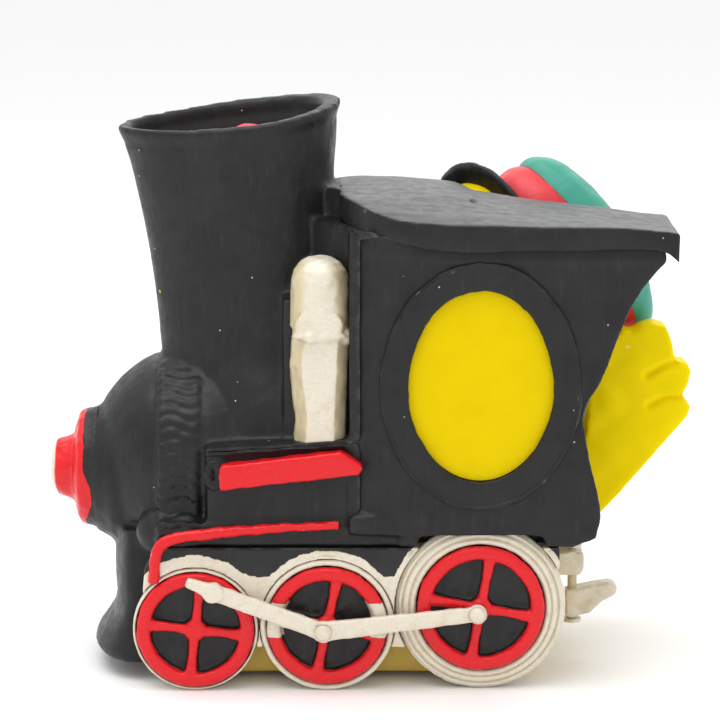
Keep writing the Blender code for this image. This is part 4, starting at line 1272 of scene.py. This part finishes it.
def driver():
    body = fuse([
        ball((29.5, 11.5, 53.0), (17.2, 13.2, 18.0)),
        ball((27.5, 13.5, 66.0), (11.0, 10.2, 13.5)),
        ball((40.0, 9.0, 50.0), (9.0, 8.0, 12.0)),
    ], 0.6, 5)
    roughen(body, (0.15, 9.0, 1.0))
    piece("bird_body", body, "yellow", ["driver_body"])

    outline = [(47.6, 31.0), (50.6, 29.4), (55.0, 34.2), (59.4, 39.4), (64.5, 45.5), (69.2, 51.0)]
    outline += [(69.8, 53.2), (68.0, 55.4), (69.2, 58.0), (69.8, 60.8), (69.0, 62.4), (66.4, 62.9)]
    outline += [(65.6, 67.2), (64.4, 70.2), (61.6, 71.0), (59.4, 70.3), (57.4, 69.2), (55.2, 69.4)]
    outline += [(52.0, 66.0), (49.0, 58.0), (47.6, 46.0)]
    swell = ball((53.0, 5.7, 54.0), (8.0, 4.4, 13.0), (0, -22, 0))
    tail = fuse([prism_y([outline], 1.6, 9.4), swell], 0.45, 6)

    def feathers(points, normals):
        cuts = [
            [(68.2, 55.5), (64.0, 55.0), (61.0, 53.6)],
            [(66.6, 62.9), (63.4, 61.8), (60.4, 60.0)],
        ]
        depth = 0.14 * ripple(points, 8.0, 1.0)
        for cut in cuts:
            depth -= 0.8 * np.exp(-(near_path(points, cut) / 0.7) ** 2)
        return depth * step(0.2, 0.6, np.abs(normals[:, 1]))

    carved(tail, feathers)
    # The tail takes the brighter, painted-light yellow.
    piece("bird_tail", tail, "tail", ["driver_tail"])

    feathers = [ball((29.0, 26.6, 66.8), (10.2, 1.9, 7.2)), ball((35.0, 26.4, 63.4), (5.6, 1.6, 4.6))]
    wing = fuse(feathers, 0.35, 4)
    piece("bird_wing", wing, "yellow", ["driver_wing"])

    head = fuse([ball(HEAD_CENTRE, (HEAD_RADIUS,) * 3), ball((27.0, 15.0, 78.5), (8.0, 8.0, 6.0))], 0.5, 3)
    roughen(head, (0.10, 9.0, 1.0))
    piece("bird_head", head, "yellow", ["driver_head"])
    beak = fuse([
        ball((12.4, 16.6, 84.6), (5.6, 4.4, 1.5), (0, -6, 0)),
        ball((12.8, 16.6, 82.6), (4.6, 3.8, 1.1), (0, 4, 0)),
    ], 0.3, 3)
    piece("bird_beak", beak, "orange", ["driver_beak"])
    for side_name in SIDES:
        low, high = local_box(f"driver_eye_{side_name}")
        eye = fuse([ball((low + high) / 2 + Vector((0.6, 0, 0)), (1.2, 1.2, 1.7))], 0.25, 1)
        piece(f"bird_eye_{side_name}", eye, "black", [f"driver_eye_{side_name}"])

    def placed(mesh, centre, axes):
        mesh.transform(Matrix.Translation(centre) @ axes)
        return mesh

    brim_axes = slanted_axes((0.334, 0.0, -0.943), (0.754, 0.60, 0.267))
    profile = [(0, 1.0), (12.0, 1.0), (15.0, 0.9), (16.0, 0.3)]
    profile += [(16.1, -0.3), (15.2, -0.9), (12.0, -1.0), (0, -1.0)]
    brim = fuse([placed(turned(profile, (0, 0, 0), (0, 0, 1)), BRIM_CENTRE, brim_axes)], 0.4, 2)
    roughen(brim, (0.12, 8.0, 1.0))
    piece("cap_brim", brim, "black", ["cap_peak"])

    crown_axes = slanted_axes((0.557, 0.0, -0.83), (0.76, 0.401, 0.511))
    band = fuse([
        placed(ball((0, 0, 0), (12.0, 11.6, 9.6)), (37.6, 15.6, 91.4), crown_axes),
        placed(ball((0, 0, 0), (15.0, 11.0, 6.0)), (41.5, 14.2, 87.0), crown_axes),
    ], 0.5, 3)
    roughen(band, (0.15, 9.0, 1.0))
    piece("cap_side", band, "cap_red", ["cap_band"])
    crown = fuse([placed(ball((0, 0, 0), (22.8, 12.5, 9.0)), CROWN_CENTRE, crown_axes)], 0.55, 3)
    roughen(crown, (0.22, 17.0, 1.0), (0.08, 6.0, 2.0))
    MATERIALS["cap_top"] = cap_paint(crown_axes)
    piece("cap_top", crown, "cap_top", ["cap_crown"], origin=CROWN_CENTRE)


# Painted shade: the underside's yellow rubber is painted a darker olive brown, standing in for the shadow
# between the wheels.
UNDERSIDE_SHADE_YELLOW = (rgb(0.60, 0.42, 0.09), rgb(0.44, 0.30, 0.05))
# Painted light: the tail's yellow is brighter than the body's, to make up for the shade the tail sits in.
TAIL_YELLOW_LIT = (rgb(0.94, 0.72, 0.0), rgb(0.88, 0.66, 0.0))
ORANGE = (rgb(0.85, 0.26, 0.02), rgb(0.7, 0.16, 0.01))
MATERIALS = {
    "black": painted("black_paint", black_layers, specular=0.3),
    "roof": roof_paint(),
    "red": painted("red_paint", red_layers),
    "silver": painted("silver_paint", silver_layers, specular=0.4, Metallic=0.1),
    # The whistle's silver carries painted shade on its front- and rear-facing faces.
    "whistle": painted("whistle_paint", silver_layers, True, specular=0.4, Metallic=0.1),
    "yellow": painted("yellow_rubber", plain_layers, YELLOW_FULL, YELLOW_SHADE, specular=0.05),
    "tail": painted("tail_paint_lit", plain_layers, *TAIL_YELLOW_LIT, specular=0.05),
    "orange": painted("orange_paint", plain_layers, *ORANGE, specular=0.5),
    "underside_shade": painted("yellow_rubber_shaded", plain_layers, *UNDERSIDE_SHADE_YELLOW, specular=0.2),
    "steel": steel(),
    "wheel": wheel_paint(),
    "wheel_middle": wheel_paint("wheel_paint_bridged", bridged=True),
    "lamp": lamp_paint(),
    "frame": frame_material(),
    "cap_red": painted("cap_red", cap_red_layers),
}

make_camera()
make_studio()
black_body()
roof()
window()
lamp()
ember()
for side_name, side in SIDES.items():
    boiler_fittings(side_name, side)
    side_frame(side_name, side)
    side_rod(side_name, side)
for wheel_name in WHEELS:
    wheelset(wheel_name)
coupling()
underside()
driver()

KEPT = {
    "hook_pin": "silver", "axle_front": "steel", "axle_middle": "steel", "axle_rear": "steel"}
for name, finish in KEPT.items():
    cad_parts[name].data.materials.clear()
    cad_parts[name].data.materials.append(MATERIALS[finish])
